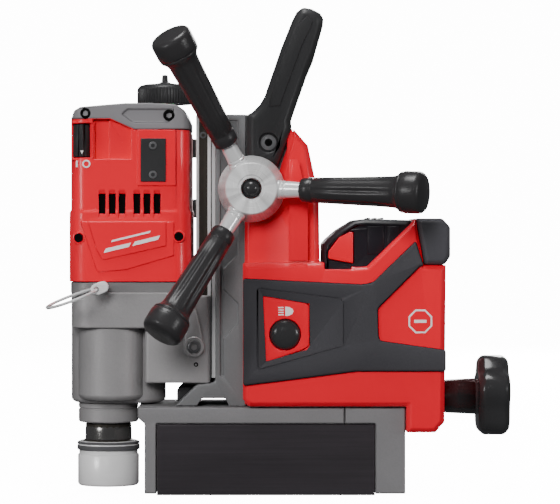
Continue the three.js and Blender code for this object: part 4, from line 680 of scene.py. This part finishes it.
class DRILLPRESS_OT_housings(bpy.types.Operator):
    """Red housings with their soft covers, guard, panel and lamp"""
    bl_idname = "drillpress.housings"
    bl_label = "Housings"
    bl_options = {"REGISTER", "UNDO"}

    def execute(self, context):
        sizes = context.scene.press_sizes
        edge = sizes.edge / MM
        stand_ins((
            ("housing_near", "red", edge), ("housing_far", "red", edge),
            ("overmold_near", "rubber", 1.5), ("overmold_far", "rubber", 1.5),
            ("corner_guard", "guard", 1.2), ("light_panel", "red", 0.5),
            ("lamp_housing", "black", 0.8),
        ), "stand")
        self.raised()
        self.crest()
        self.signs()
        finished("control_board", "board")
        finished("battery_terminal", "black")
        self.button()
        return {"FINISHED"}

    def signs(self):
        """Sloping frame round the light panel, and the printed lamp and stop signs."""
        near = low("overmold_near").y / MM
        panel = low("light_panel").y / MM
        outer = [(-4.9, 139.8), (-4.9, 85.7), (51.7, 101.4), (51.7, 130.4), (49.5, 132.6)]
        inner = [(-2.0, 134.8), (0.1, 90.6), (27.6, 98.6), (29.6, 101.6), (29.3, 129.6)]
        fitted("light_recess", bezel(outer, inner, near - 0.5, low("housing_near").y / MM - 0.3), "rubber",
               "stand")
        rows = [slab(((8.4, z), (12.0, z), (12.0, z + 0.75), (8.4, z + 0.75)), panel - 0.25, panel + 0.4)
                for z in (121.6, 123.2, 124.8, 126.4)]
        rows.append(slab(((13.0, 121.2), (15.6, 121.4), (17.8, 122.6), (18.5, 124.3), (17.8, 126.0),
                          (15.6, 127.2),
                          (13.0, 127.4)), panel - 0.25, panel + 0.4))
        fitted("lamp_sign", joined(*rows), "print", "stand")
        eight = [(103.6 + 8.6 * cos(a + pi / 8), 117.6 + 8.6 * sin(a + pi / 8)) for a in ring_of(8)]
        inner = [(103.6 + 7.4 * cos(a + pi / 8), 117.6 + 7.4 * sin(a + pi / 8)) for a in ring_of(8)]
        face = low("housing_near").y / MM
        fitted("stop_sign_rim", slab(eight, face - 0.2, face + 0.4), "print", "stand")
        fitted("stop_sign_face", slab(inner, face - 0.3, face + 0.4), "red", "stand")
        fitted("stop_sign_bar", slab(((99.4, 116.6), (107.8, 116.6), (107.8, 118.6), (99.4, 118.6)),
                                     face - 0.4, face + 0.4),
               "print", "stand")

    def raised(self):
        """A thin upright face beside each upper housing, level with the lower housing's wall."""
        for side, node in ((-1, "housing_near"), (1, "housing_far")):
            wall = (low(node) if side < 0 else high(node)).y / MM
            outline = ((15.4, 226.0), (22.0, 226.0), (28.4, 196.8), (28.4, 158.2), (15.4, 158.2))
            fitted(f"{node}_face", slab(outline, wall + 0.3 * side, wall - 0.6 * side, 0.25, 3), "red",
                   "stand")

    def crest(self):
        """The housings' pointed crest behind the carry handle."""
        fitted("housing_crest", slab(((14.3, 228), (20, 228), (17.9, 247.2), (16.2, 246.5), (14.3, 240)),
                                     -40, 40),
               "red", "stand", (), 0.5)

    def button(self):
        """Light switch: a domed soft button."""
        near = low("light_button").y / MM
        back = high("light_button").y / MM
        tall = back - near
        r = 10.3
        fitted("light_button_skin", turned((
            (0, 0), (0, r), (0.3 * tall, r), (0.55 * tall, r - 0.6), (0.76 * tall, r - 2.0),
            (0.9 * tall, r - 4.2),
            (0.98 * tall, r - 7.2), (tall, 0),
        ), 56, (BUTTON.x, back, BUTTON.z), (0, -1, 0)), "gloss", "light_button", ("light_button",))


class DRILLPRESS_OT_battery(bpy.types.Operator):
    """Battery pack and its latches"""
    bl_idname = "drillpress.battery"
    bl_label = "Battery"
    bl_options = {"REGISTER", "UNDO"}

    def execute(self, context):
        fitted("battery_skin", copied("battery_pack"), "pack", "battery", ("battery_pack",), 1.0, 3)
        lo, hi = low("battery_pack") / MM, high("battery_pack") / MM
        top = hi.z
        for side in (-1, 1):
            face = lo.y if side < 0 else hi.y
            for name, x0, x1 in (("rear", 68.5, 79.5), ("end", 82.0, 90.0)):
                pad = ((x0, top - 24), (x1, top - 24), (x1, top - 5), (x0, top - 5))
                fitted(f"battery_pad_{name}_{'near' if side < 0 else 'far'}",
                       slab(pad, face + side * 0.9, face - side * 0.5, 0.6), "pack", "battery")
        for number, x in enumerate((69.0, 73.5, 78.0)):
            fitted(f"battery_rib_{number + 1}", block(x, x + 2.2, 24, top - 1.0, top + 0.9, 0), "pack",
                   "battery",
                   (), 0.5)
        for side in ("near", "far"):
            fitted(f"battery_latch_{side}_skin", copied(f"battery_latch_{side}"), "red", f"latch_{side}",
                   (f"battery_latch_{side}",), 0.8, 2)
        return {"FINISHED"}


class DRILLPRESS_OT_slide(bpy.types.Operator):
    """Slide bar and feed rack"""
    bl_idname = "drillpress.slide"
    bl_label = "Slide"
    bl_options = {"REGISTER", "UNDO"}

    def execute(self, context):
        fitted("slide_bar_skin", copied("slide_bar"), "oiled", "carriage", ("slide_bar",), 0.4)
        lo, hi = low("slide_bar").z / MM + 1, high("slide_bar").z / MM - 1
        near = low("slide_bar").y / MM
        for name, x0, x1 in (("front", -47.4, -45.4), ("rear", -39.6, -37.4)):
            strip = ((x0, lo), (x1, lo), (x1, hi), (x0, hi))
            fitted(f"slide_edge_{name}", slab(strip, near - 0.25, near + 0.4, 0.15), "ground", "carriage")
        for z in (243.4, 165.0, 92.0):
            fitted(f"slide_screw_{int(z)}", screw(2.3, -42.6, near - 0.3, z, height=0.8), "bolt", "carriage")
        finished("feed_rack", "ground")
        return {"FINISHED"}


class DRILLPRESS_OT_gear_case(bpy.types.Operator):
    """Gear case, quill, bearings, lock pin and ring"""
    bl_idname = "drillpress.gear_case"
    bl_label = "Gear case"
    bl_options = {"REGISTER", "UNDO"}

    def execute(self, context):
        self.case()
        self.bracket()
        finished("gear_case_cover", "gear_cast")
        for node in ("spindle_bearing_lower", "spindle_bearing_upper"):
            finished(node, "polished")
        self.collar()
        finished("spindle_gear", "ground")
        for node in ("idler_two", "idler_one"):
            finished(node, "ground")
        fitted("pull_ring_skin", copied("pull_ring"), "polished", "pull_ring", ("pull_ring",), 0.0)
        fitted("lock_pin_skin", copied("lock_pin"), "turned", "lock_pin", ("lock_pin",), 0.3)
        return {"FINISHED"}

    def case(self):
        """The casting: a band, a block below it, round lobes and the slide bracket."""
        lobes = block(-134.0, -68.9, 25.5, 60.7, 113.6, 25.4, 12)
        foot = [e for e in lobes.edges if max(v.co.z for v in e.verts) < 61 * MM]
        rounded_edges(lobes, foot, 4.6, 2)
        barrel = turned(((63.4, 0), (63.4, 19.6), (66.0, 22.4), (113.6, 22.4), (113.6, 0)), 64,
                        (-105.4, -18.0, 0))
        # The band wears a darker copy of the gear case's finish: painted shade.
        fitted("gear_band", block(-132.4, -50.5, 42.2, 136.0, 143.7, 14), "band_painted_shade", "carriage", (), 0.8,
               3, 30)
        parts = joined(block(-131.9, -51.0, 43, 112.6, 136.9, 14),
                       lobes, barrel, block(-82, -37.6, 36, 75.3, 134.5, 3, 3))
        fitted("gear_case_skin", parts, "gear_cast", "carriage", ("gear_case",), 1.3, 3, 30)

    def bracket(self):
        """Boss with its screw, a tapered rib and a drain dimple on the slide bracket."""
        near = -36.0
        fitted("bracket_rib", slab(((-54.6, 97.2), (-42.4, 97.2), (-41.5, 100.5), (-47.6, 127.5),
                                    (-51.5, 127.5),
                                    (-55.6, 101)), near - 2.4, near + 0.5, 1.1, 3), "gear_cast", "carriage")
        fitted("bracket_boss", turned(((0, 0), (0, 7.4), (2.4, 7.2), (3.2, 6.4), (3.2, 4.9), (2.2, 4.7),
                                       (2.2, 0)),
                                      48, (-48.5, near + 0.2, 99.9), (0, -1, 0)), "gear_cast", "carriage")
        fitted("bracket_screw", screw(4.2, -48.5, near - 3.3, 99.9, height=1.6), "bolt", "carriage")
        # The drain dimple is a small near-black disc: painted shade.
        fitted("bracket_dimple", screw(1.5, -47.2, near - 0.25, 87.9, height=0.5), "dark", "carriage")

    def collar(self):
        lo, hi = low("quill_collar").z / MM, high("quill_collar").z / MM
        r = (high("quill_collar").x - low("quill_collar").x) / MM / 2
        fitted("quill_collar_skin", turned((
            (lo, r - 3.2), (lo, r - 0.9), (lo + 0.9, r), (hi - 4.6, r), (hi - 4.2, r - 0.6),
            (hi - 3.6, r - 0.6),
            (hi - 3.2, r), (hi - 0.4, r), (hi, r - 0.4), (hi, r - 3.2), (lo, r - 3.2),
        ), 72, (SPINDLE.x, 0, 0)), "gear_cast", "carriage", ("quill_collar",))


class DRILLPRESS_OT_motor(bpy.types.Operator):
    """Motor shells, top cap, plate, dial and the parts inside"""
    bl_idname = "drillpress.motor"
    bl_label = "Motor"
    bl_options = {"REGISTER", "UNDO"}

    def execute(self, context):
        self.shell("near", -1)
        self.shell("far", 1)
        self.niche()
        self.cap()
        plate = ((-84.2, 211.3), (-67.2, 211.3), (-67.2, 240.5), (-84.2, 240.5))
        fitted("access_plate_skin", slab(plate, -45.3, -41.8), "black", "carriage", ("access_plate",), 0.5)
        for z in (216.1, 235.7):
            fitted(f"plate_screw_{int(z)}", screw(2.7, -75.9, -45.8, z, height=0.9), "bolt", "carriage")
        for name, x, z in (("left", -125.9, 173.6), ("right", -58.6, 174.5)):
            self.shell_screw(name, x, z)
        # A near-black sheet just inside the vent slots: painted shade seen through them.
        fitted("vent_painted_shade", slab(((-114, 184), (-69, 184), (-69, 209), (-114, 209)), -39.6, -39.0),
               "dark", "carriage")
        stripes = [slab(((x, z), (x + w, z + w * 0.24), (x + w + 1.6, z + w * 0.24 + 3.0),
                         (x + 1.6, z + 3.0)), -46.3, -45.4)
                   for x, z, w in ((-109.0, 163.4, 17.0), (-89.6, 168.1, 17.0))]
        stripes.append(slab(((-104.0, 170.6), (-78.0, 176.9), (-77.2, 178.4), (-103.2, 172.1)), -46.3, -45.4))
        fitted("side_stripes", joined(*stripes), "print", "carriage")
        finished("motor_stator", "core")
        finished("motor_bearing", "polished")
        finished("motor_rotor", "core")
        fitted("power_dial_skin", copied("power_dial"), "black", "power_dial", ("power_dial",), 0.5)
        return {"FINISHED"}

    def shell(self, name, side):
        """One moulded half: a hollow skin with its ridge, badge, panel, scoop and vents."""
        high_line = [(-51.4, 246.3), (-88.8, 246.5), (-105, 253.6), (-131.9, 253.6)]
        outline = [(-131.9, 144), (-51.4, 144), *high_line]
        bm = bmesh.new()
        face = bm.faces.new([bm.verts.new((x * MM, 0.15 * side * MM, z * MM)) for x, z in outline])
        grown = bmesh.ops.extrude_face_region(bm, geom=[face])["geom"]
        bmesh.ops.translate(bm, vec=(0, 42.85 * side * MM, 0),
                            verts=[g for g in grown if isinstance(g, bmesh.types.BMVert)])
        bmesh.ops.recalc_face_normals(bm, faces=bm.faces)
        open_faces = [f for f in bm.faces if abs(f.normal.z) > 0.3
                      or abs(f.calc_center_median().y) < 0.2 * MM]
        bmesh.ops.delete(bm, geom=open_faces, context="FACES")
        corners = [e for e in bm.edges if abs(e.verts[0].co.x - e.verts[1].co.x) < 1e-6
                   and min(abs(v.co.y) for v in e.verts) > 42 * MM]
        bmesh.ops.bevel(bm, geom=corners, offset=11 * MM, offset_type="OFFSET", segments=7, affect="EDGES",
                        profile=0.5, material=-1)
        for z in (192.6, 190.6):
            bmesh.ops.bisect_plane(bm, geom=bm.verts[:] + bm.edges[:] + bm.faces[:], plane_co=(0, 0, z * MM),
                                   plane_no=(0, 0, 1), dist=1e-6)
        for vert in bm.verts:
            if vert.co.z < 191 * MM:
                vert.co.y += 1.1 * side * MM * (abs(vert.co.y) > 20 * MM)
                if abs(vert.co.y) < 36 * MM:
                    vert.co.x += (1.0 if vert.co.x > -90 * MM else -1.0) * MM
        bm.normal_update()
        relief(bm, [(-124.6, 184.4), (-113.8, 152.0), (-112.5, 150.5), (-94, 152.2), (-61.8, 161.6),
                    (-61.8, 184.4)], 0.9, side)
        relief(bm, [(-119.5, 184.4), (-113.5, 165), (-109.6, 158.6), (-67.0, 168.2), (-67.0, 184.4)], 0.9,
               side)
        if side < 0:
            relief(bm, [(-86.3, 208.6), (-60.6, 208.6), (-60.6, 256), (-86.3, 256)], 1.3, side)
            relief(bm, [(-116.4, 226.6), (-90.4, 226.6), (-90.4, 256), (-116.4, 256)], -4.0, side)
            relief(bm, [(-116.4, 226.6), (-105.6, 226.6), (-105.6, 256), (-116.4, 256)], -2.0, side)
            pocket = scored(bm, [(-133, 227.6), (-116.4, 227.6), (-116.4, 250.8), (-133, 250.8)], side)
            bmesh.ops.delete(bm, geom=pocket, context="FACES")
        for x in (-110.2, -103.4, -96.8, -86.8, -80, -73.2):
            self.vent(bm, x, side)
        bmesh.ops.remove_doubles(bm, verts=bm.verts, dist=0.003 * MM)
        bm.normal_update()
        bmesh.ops.solidify(bm, geom=bm.faces[:], thickness=2.2 * MM)
        bmesh.ops.recalc_face_normals(bm, faces=bm.faces)
        fitted(f"motor_shell_{name}_skin", bm, "red", "carriage", (f"motor_shell_{name}",), 0.55, 3, 28)

    def vent(self, bm, x, side):
        """A slot through the wall with a ramp below it and above it."""
        for low_z, high_z, lip in ((186.4, 190, 190), (203, 206, 203)):
            faces = scored(bm, [(x - 2.1, low_z), (x + 2.1, low_z), (x + 2.1, high_z), (x - 2.1, high_z)],
                           side)
            for vert in lifted(bm, faces, 0, side):
                if abs(vert.co.z - lip * MM) < 1e-5:
                    vert.co.y -= side * 1.6 * MM
        slot = scored(bm, [(x - 2.1, 190), (x + 2.1, 190), (x + 2.1, 203), (x - 2.1, 203)], side)
        bmesh.ops.delete(bm, geom=slot, context="FACES")
        fences = [f for f in bm.faces if all(abs(v.co.z - 190 * MM) < 1e-5 for v in f.verts)
                  or all(abs(v.co.z - 203 * MM) < 1e-5 for v in f.verts)]
        bmesh.ops.delete(bm, geom=fences, context="FACES")

    def niche(self):
        """Walls of the pocket that the power dial turns in."""
        parts = []
        for x0, x1, z0, z1, near, far in (
                (-116.7, -115.4, 227.0, 251.2, -41.2, -24.4), (-131.0, -115.4, 227.0, 251.2, -25.6, -24.4),
                (-131.0, -115.4, 225.8, 227.4, -41.0, -24.4), (-131.0, -115.4, 250.6, 252.0, -41.0, -24.4)):
            parts.append(slab(((x0, z0), (x1, z0), (x1, z1), (x0, z1)), near, far))
        fitted("dial_niche", joined(*parts), "red", "carriage", (), 0.3)
        fitted("dial_arrow", slab(((-125.1, 232.4), (-122.9, 232.4), (-124.0, 229.9)), -41.0, -40.5),
               "print", "power_dial")
        fitted("dial_mark_on", slab(((-127.9, 221.2), (-126.7, 221.2), (-126.7, 225.6), (-127.9, 225.6)),
                                    -42.4, -39.6),
               "print", "carriage")
        fitted("dial_mark_off", turned(((0, 1.75), (0, 2.7), (1.2, 2.7), (1.2, 1.75), (0, 1.75)), 40,
                                       (-120.8, -42.6, 223.4), (0, -1, 0)), "print", "carriage")

    def shell_screw(self, name, x, z):
        """A deep screw hole with a light ring round its mouth, and a near-black head in it as painted shade.
        """
        fitted(f"shell_screw_ring_{name}", turned(
            ((0, 3.1), (0, 4.3), (1.9, 4.1), (2.2, 3.6), (2.2, 3.1), (0, 3.1)), 40, (x, -42.4, z),
            (0, -1, 0)),
            "red", "carriage")
        # Near-black head: painted shade in the deep hole.
        fitted(f"shell_screw_{name}", screw(3.4, x, -44.62, z, height=0.5), "dark", "carriage")

    def cap(self):
        """Top cap with its long hollow and two screw holes."""
        crown = ((-132.3, 252.3), (-129.6, 259.5), (-124.8, 262), (-109.8, 263.2), (-96.6, 264.4),
                 (-78.4, 264.5),
                 (-60.4, 263.5), (-54.4, 259.5), (-51.4, 252.3))
        bm = block(-131.9, -51.4, 43.3, 246.7, 264.5, 11)
        for (ax, az), (bx, bz) in zip(crown, crown[1:]):
            bmesh.ops.bisect_plane(bm, geom=bm.verts[:] + bm.edges[:] + bm.faces[:], dist=1e-6,
                                   clear_outer=True,
                                   plane_co=(ax * MM, 0, az * MM),
                                   plane_no=Vector((az - bz, 0, bx - ax)).normalized())
            closed(bm)
        corner, slope = Vector((-105, 0, 253.7)) * MM, Vector((7, 0, 16.2)).normalized()
        for tilt in ((0, 0, 1), slope):
            bmesh.ops.bisect_plane(bm, geom=bm.verts[:] + bm.edges[:] + bm.faces[:], dist=1e-6,
                                   plane_co=corner,
                                   plane_no=tilt)
        step = [f for f in bm.faces if (f.calc_center_median() - corner).z < -1e-6
                and (f.calc_center_median() - corner).dot(slope) < 0]
        bmesh.ops.delete(bm, geom=step, context="FACES")
        ends = [v for v in bm.verts if (v.co - corner).xz.length < 1e-5]
        if len(ends) == 2:
            bm.edges.new(ends)
        for height in (True, False):
            rim = [e for e in bm.edges if len(e.link_faces) < 2 and (
                e.verts[0] in ends and e.verts[1] in ends
                or height == all(abs(v.co.z - corner.z) < 1e-6 for v in e.verts))]
            bmesh.ops.contextual_create(bm, geom=rim)
        closed(bm)
        relief(bm, [(-97, 256.8), (-93.3, 260.2), (-62.8, 260.2), (-62.8, 256.0), (-65.2, 251.4),
                    (-89.2, 251.4)], -1.6)
        fitted("motor_top_cap_skin", bm, "top_cap", "carriage", ("motor_top_cap",), 1.2, 3, 24)
        # The two screw holes are near-black heads: painted shade in the holes.
        for name, x, z, r in (("left", -121.4, 257.4, 3.6), ("right", -65.2, 256.2, 3.9)):
            fitted(f"cap_screw_{name}", screw(r, x, -43.6, z, height=2.6), "dark", "carriage")


class DRILLPRESS_OT_feed(bpy.types.Operator):
    """Feed shaft, hub, rods and grips"""
    bl_idname = "drillpress.feed"
    bl_label = "Feed levers"
    bl_options = {"REGISTER", "UNDO"}

    def execute(self, context):
        finished("feed_shaft", "ground")
        near, far = low("feed_hub").y / MM, high("feed_hub").y / MM
        deep = far - near
        fitted("feed_hub_skin", turned((
            (0, 12.0), (0, 21.2), (0.9, 22.3), (5.5, 22.3), (deep - 2.2, 17.6), (deep - 1.2, 17.3),
            (deep - 0.5, 16.6),
            (deep - 0.5, 12.6), (deep - 0.75, 12.4), (deep - 0.75, 12.2), (deep - 0.5, 12.0),
            (deep - 0.5, 9.2),
            (deep - 1.2, 8.6), (deep - 1.2, 7.0), (deep - 3.0, 7.0), (0, 12.0),
        ), 96, (FEED.x, far, FEED.z), (0, -1, 0)), "spun", "feed", ("feed_hub",))
        cap = middle("hub_cap") / MM
        near, far = low("hub_cap").y / MM, high("hub_cap").y / MM
        tall = far - near
        fitted("hub_cap_skin", turned((
            (0, 0), (0, 6.4), (tall * 0.3, 6.4), (tall * 0.55, 6.0), (tall * 0.78, 4.9), (tall * 0.93, 3.0),
            (tall * 0.99, 1.2), (tall, 0),
        ), 48, (cap.x, far, cap.z), (0, -1, 0)), "gloss", "feed", ("hub_cap",))
        for number, line in lever_lines():
            self.rod(number, line)
            self.grip(number, line)
        return {"FINISHED"}

    def rod(self, number, line):
        fitted(f"lever_rod_{number}_collar", turned((
            (11, 3.0), (11, 6.9), (21.4, 6.4), (22.2, 5.9), (22.6, 5.5), (23.2, 5.5), (23.6, 5.9),
            (24.4, 5.9),
            (24.8, 5.4), (25.6, 5.4), (26.0, 5.7), (34.0, 5.25), (36.6, 5.1), (36.6, 3.0), (11, 3.0),
        ), 40, FEED, line), "polished", "feed")
        finished(f"lever_rod_{number}", "polished")

    def grip(self, number, line):
        profile = (
            (37, 5.3), (37, 7.2), (37.8, 8), (44.2, 8.3), (44.9, 7.7), (45.6, 7.7), (46.3, 8.4), (60, 8.8),
            (75, 9.3), (90, 9.8), (101, 10.3), (104, 10.8), (106, 12), (107.4, 13.3), (108.2, 13.5),
            (108.8, 13.1),
            (109.4, 13.5), (110.2, 13.9), (114, 13.9), (119, 13.9), (121, 13.5), (122.3, 12.4), (123, 10.6),
            (123, 0), )
        bm = turned(profile, 64, (0, 0, 0), (0, 0, 1))
        for vert in bm.verts:
            along = vert.co.z / MM
            if 48 < along < 103:
                fade = min(1.0, (along - 48) / 8, (103 - along) / 6)
                around = math.atan2(vert.co.y, vert.co.x)
                dip = max(0.0, cos(around * 6)) ** 2
                vert.co.x *= 1 - 0.13 * fade * dip
                vert.co.y *= 1 - 0.13 * fade * dip
        aim = line.to_track_quat("Z", "Y").to_matrix()
        moved(bm, FEED, aim)
        fitted(f"lever_grip_{number}_skin", bm, "grip", "feed", (f"lever_grip_{number}",), smooth=50)


class DRILLPRESS_OT_spindle(bpy.types.Operator):
    """Spindle and the arbor's release sleeve"""
    bl_idname = "drillpress.spindle"
    bl_label = "Spindle"
    bl_options = {"REGISTER", "UNDO"}

    def execute(self, context):
        finished("spindle", "oiled")
        self.ring()
        lo, hi = low("arbor_sleeve").z / MM, high("arbor_sleeve").z / MM
        r = 21.1
        inner = 18.1
        fitted("arbor_sleeve_skin", turned((
            (lo, inner), (lo, r - 1.2), (lo + 0.8, r - 0.4), (lo + 1.8, r), (24.2, r), (24.8, r - 0.4),
            (25.2, r - 0.9),
            (27.6, r - 0.9), (28.0, r - 0.4), (28.6, r), (hi - 1.4, r), (hi - 0.4, r - 0.6), (hi, r - 1.6),
            (hi, 16.6), (hi - 2.4, 16.6), (hi - 2.4, inner), (lo, inner),
        ), 80, (SPINDLE.x, 0, 0)), "turned", "arbor_sleeve", ("arbor_sleeve",))
        return {"FINISHED"}

    def ring(self):
        fitted("sleeve_ring", turned(((27.9, 18.0), (27.9, 21.25), (28.5, 21.6), (30.9, 21.6),
                                      (31.2, 21.1), (31.2, 20.6), (31.9, 20.6),
                                      (31.9, 21.1), (32.2, 21.5), (33.0, 21.5), (33.6, 20.7), (33.6, 18.0),
                                      (27.9, 18.0)),
                                     80, (SPINDLE.x, 0, 0)), "bolt", "arbor_sleeve")
        fitted("spindle_neck", turned(((34.6, 15.0), (34.6, 16.0), (41.4, 16.0), (44.0, 15.7),
                                       (45.8, 14.9), (46.6, 13.8),
                                       (46.6, 9.0), (34.6, 9.0), (34.6, 15.0)), 72, (SPINDLE.x, 0, 0)),
                                       "chrome", "spindle")


class DRILLPRESS_OT_coolant(bpy.types.Operator):
    """Coolant bottle, its bracket and cap"""
    bl_idname = "drillpress.coolant"
    bl_label = "Coolant bottle"
    bl_options = {"REGISTER", "UNDO"}

    def execute(self, context):
        fitted("bottle_bracket_skin", copied("bottle_bracket"), "black", "carriage", ("bottle_bracket",), 0.5)
        fitted("coolant_bottle_skin", copied("coolant_bottle"), "bottle", "carriage", ("coolant_bottle",),
               0.0)
        cap = middle("bottle_cap") / MM
        lo = low("bottle_cap").z / MM
        bm = turned((
            (lo, 9.6), (lo, 19.2), (lo + 0.8, 19.9), (lo + 10, 19.9), (lo + 12, 19.2), (lo + 13.4, 17.4),
            (lo + 14.2, 14),
            (lo + 14.6, 8), (lo + 15.4, 4), (lo + 16.2, 2.4), (lo + 20, 2.1), (lo + 21, 1.8), (lo + 21.3, 0),
            (lo, 0), (lo, 9.6)), 120, (0, 0, 0))
        for vert in bm.verts:
            wide = math.hypot(vert.co.x, vert.co.y)
            step = round(math.atan2(vert.co.y, vert.co.x) / (2 * pi) * 120)
            if wide > 19 * MM and step % 2:
                bmesh.ops.scale(bm, vec=(0.965, 0.965, 1), verts=[vert])
        fitted("bottle_cap_skin", moved(bm, (cap.x, cap.y, 0)), "black", "bottle_cap", ("bottle_cap",))
        return {"FINISHED"}


class DRILLPRESS_OT_knob(bpy.types.Operator):
    """Magnet knob and the turning magnet"""
    bl_idname = "drillpress.knob"
    bl_label = "Magnet knob"
    bl_options = {"REGISTER", "UNDO"}

    def execute(self, context):
        fitted("magnet_knob_skin", copied("magnet_knob"), "gloss", "magnet_knob", ("magnet_knob",), 1.6, 3)
        finished("magnet_rotor", "turned")
        return {"FINISHED"}


WORLD_LIGHT = 0.1
FLOOR_GLOW = 14.0
FLOOR_DROP = 0.0003          # keeps the floor just clear of the magnet's face
LENS_LENGTH = 163.0
SENSOR_WIDTH = 36
LENS_SHIFT = (0.0268, -0.0304)
CAMERA_AT = (-0.00055, -1.75, 0.1755)


class DRILLPRESS_OT_stage(bpy.types.Operator):
    """Floor, lights and camera"""
    bl_idname = "drillpress.stage"
    bl_label = "Stage"
    bl_options = {"REGISTER", "UNDO"}

    def execute(self, context):
        world = bpy.data.worlds.new("studio")
        world.use_nodes = True
        world.node_tree.nodes["Background"].inputs[0].default_value = (0.95, 0.96, 1.0, 1)
        world.node_tree.nodes["Background"].inputs[1].default_value = WORLD_LIGHT
        context.scene.world = world
        self.floor()
        for name, place, size, power, aim in (
                ("front", (-0.5, -3.0, 1.1), 0.9, 84, (0, 0, 0.15)),
                ("left_strip", (-1.7, -1.7, 0.6), 0.6, 11, (0, 0, 0.15)),
                ("right_strip", (2.0, -1.2, 0.5), 0.5, 7, (0, 0, 0.15)),
                ("top", (-0.2, -0.3, 1.9), 0.9, 20, (0, 0, 0.1)),
                ("back", (0.6, 1.9, 0.9), 1.0, 45, (0, 0, 0.15))):
            self.light(name, place, size, power, aim)
        self.camera()
        return {"FINISHED"}

    def floor(self):
        bm = bmesh.new()
        rim = ((0, 0), (3.4, 0), (3.9, 0.05), (4.4, 0.22), (4.8, 0.55), (5.0, 1.1), (5.05, 3.0))
        points = [bm.verts.new((x, 0, z)) for x, z in rim]
        edges = [bm.edges.new(pair) for pair in zip(points, points[1:])]
        bmesh.ops.spin(bm, geom=points + edges, cent=(0, 0, 0), axis=(0, 0, 1), angle=2 * pi, steps=64,
                       use_merge=True, use_duplicate=False)
        bmesh.ops.remove_doubles(bm, verts=bm.verts, dist=1e-5)
        bmesh.ops.translate(bm, vec=(0, 0, -FLOOR_DROP), verts=bm.verts)
        mesh = bpy.data.meshes.new("floor")
        bm.to_mesh(mesh)
        bm.free()
        for face in mesh.polygons:
            face.use_smooth = True
        floor = bpy.data.objects.new("floor", mesh)
        bpy.context.scene.collection.objects.link(floor)
        paper = Finish("floor_paper", (0.92, 0.92, 0.925), 0.8)
        paper.set(**{"Emission Color": (1, 1, 1, 1), "Emission Strength": FLOOR_GLOW})
        mesh.materials.append(paper.material)
        floor.visible_glossy = False
        floor.visible_diffuse = False

    def light(self, name, place, size, power, aim):
        lamp = bpy.data.lights.new(name, "AREA")
        lamp.shape = "DISK"
        lamp.size = size
        lamp.energy = power
        holder = bpy.data.objects.new(name, lamp)
        holder.location = place
        holder.rotation_euler = (Vector(aim) - Vector(place)).to_track_quat("-Z", "Y").to_euler()
        holder.visible_glossy = name != "front"
        bpy.context.scene.collection.objects.link(holder)

    def camera(self):
        lens = bpy.data.cameras.new("camera")
        lens.lens = LENS_LENGTH
        lens.sensor_width = SENSOR_WIDTH
        lens.shift_x, lens.shift_y = LENS_SHIFT
        lens.dof.use_dof = False
        camera = bpy.data.objects.new("camera", lens)
        camera.location = CAMERA_AT
        camera.rotation_euler = (radians(90), 0, 0)
        bpy.context.scene.collection.objects.link(camera)
        bpy.context.scene.camera = camera


OPERATORS = (
    DRILLPRESS_OT_finishes, DRILLPRESS_OT_stage, DRILLPRESS_OT_castings, DRILLPRESS_OT_handle,
    DRILLPRESS_OT_housings, DRILLPRESS_OT_battery, DRILLPRESS_OT_slide, DRILLPRESS_OT_gear_case,
    DRILLPRESS_OT_motor, DRILLPRESS_OT_feed, DRILLPRESS_OT_spindle, DRILLPRESS_OT_coolant,
    DRILLPRESS_OT_knob,
)


class DRILLPRESS_PT_panel(bpy.types.Panel):
    """Lists the sizes, the colours and each step of the build"""
    bl_idname = "DRILLPRESS_PT_panel"
    bl_label = "Drill Press"
    bl_space_type = "VIEW_3D"
    bl_region_type = "UI"
    bl_category = "Drill Press"

    def draw(self, context):
        for group in (context.scene.press_sizes, context.scene.press_colours):
            box = self.layout.box()
            for name in group.__annotations__:
                box.prop(group, name)
        for operator in OPERATORS:
            self.layout.operator(operator.bl_idname)


CLASSES = (PressColours, PressSizes, *OPERATORS, DRILLPRESS_PT_panel)


def register():
    for cls in CLASSES:
        bpy.utils.register_class(cls)
    bpy.types.Scene.press_colours = bpy.props.PointerProperty(type=PressColours)
    bpy.types.Scene.press_sizes = bpy.props.PointerProperty(type=PressSizes)


def unregister():
    del bpy.types.Scene.press_sizes
    del bpy.types.Scene.press_colours
    for cls in reversed(CLASSES):
        bpy.utils.unregister_class(cls)


def main():
    register()
    for operator in OPERATORS:
        area, name = operator.bl_idname.split(".")
        getattr(getattr(bpy.ops, area), name)()


if __name__ == "__main__":
    main()
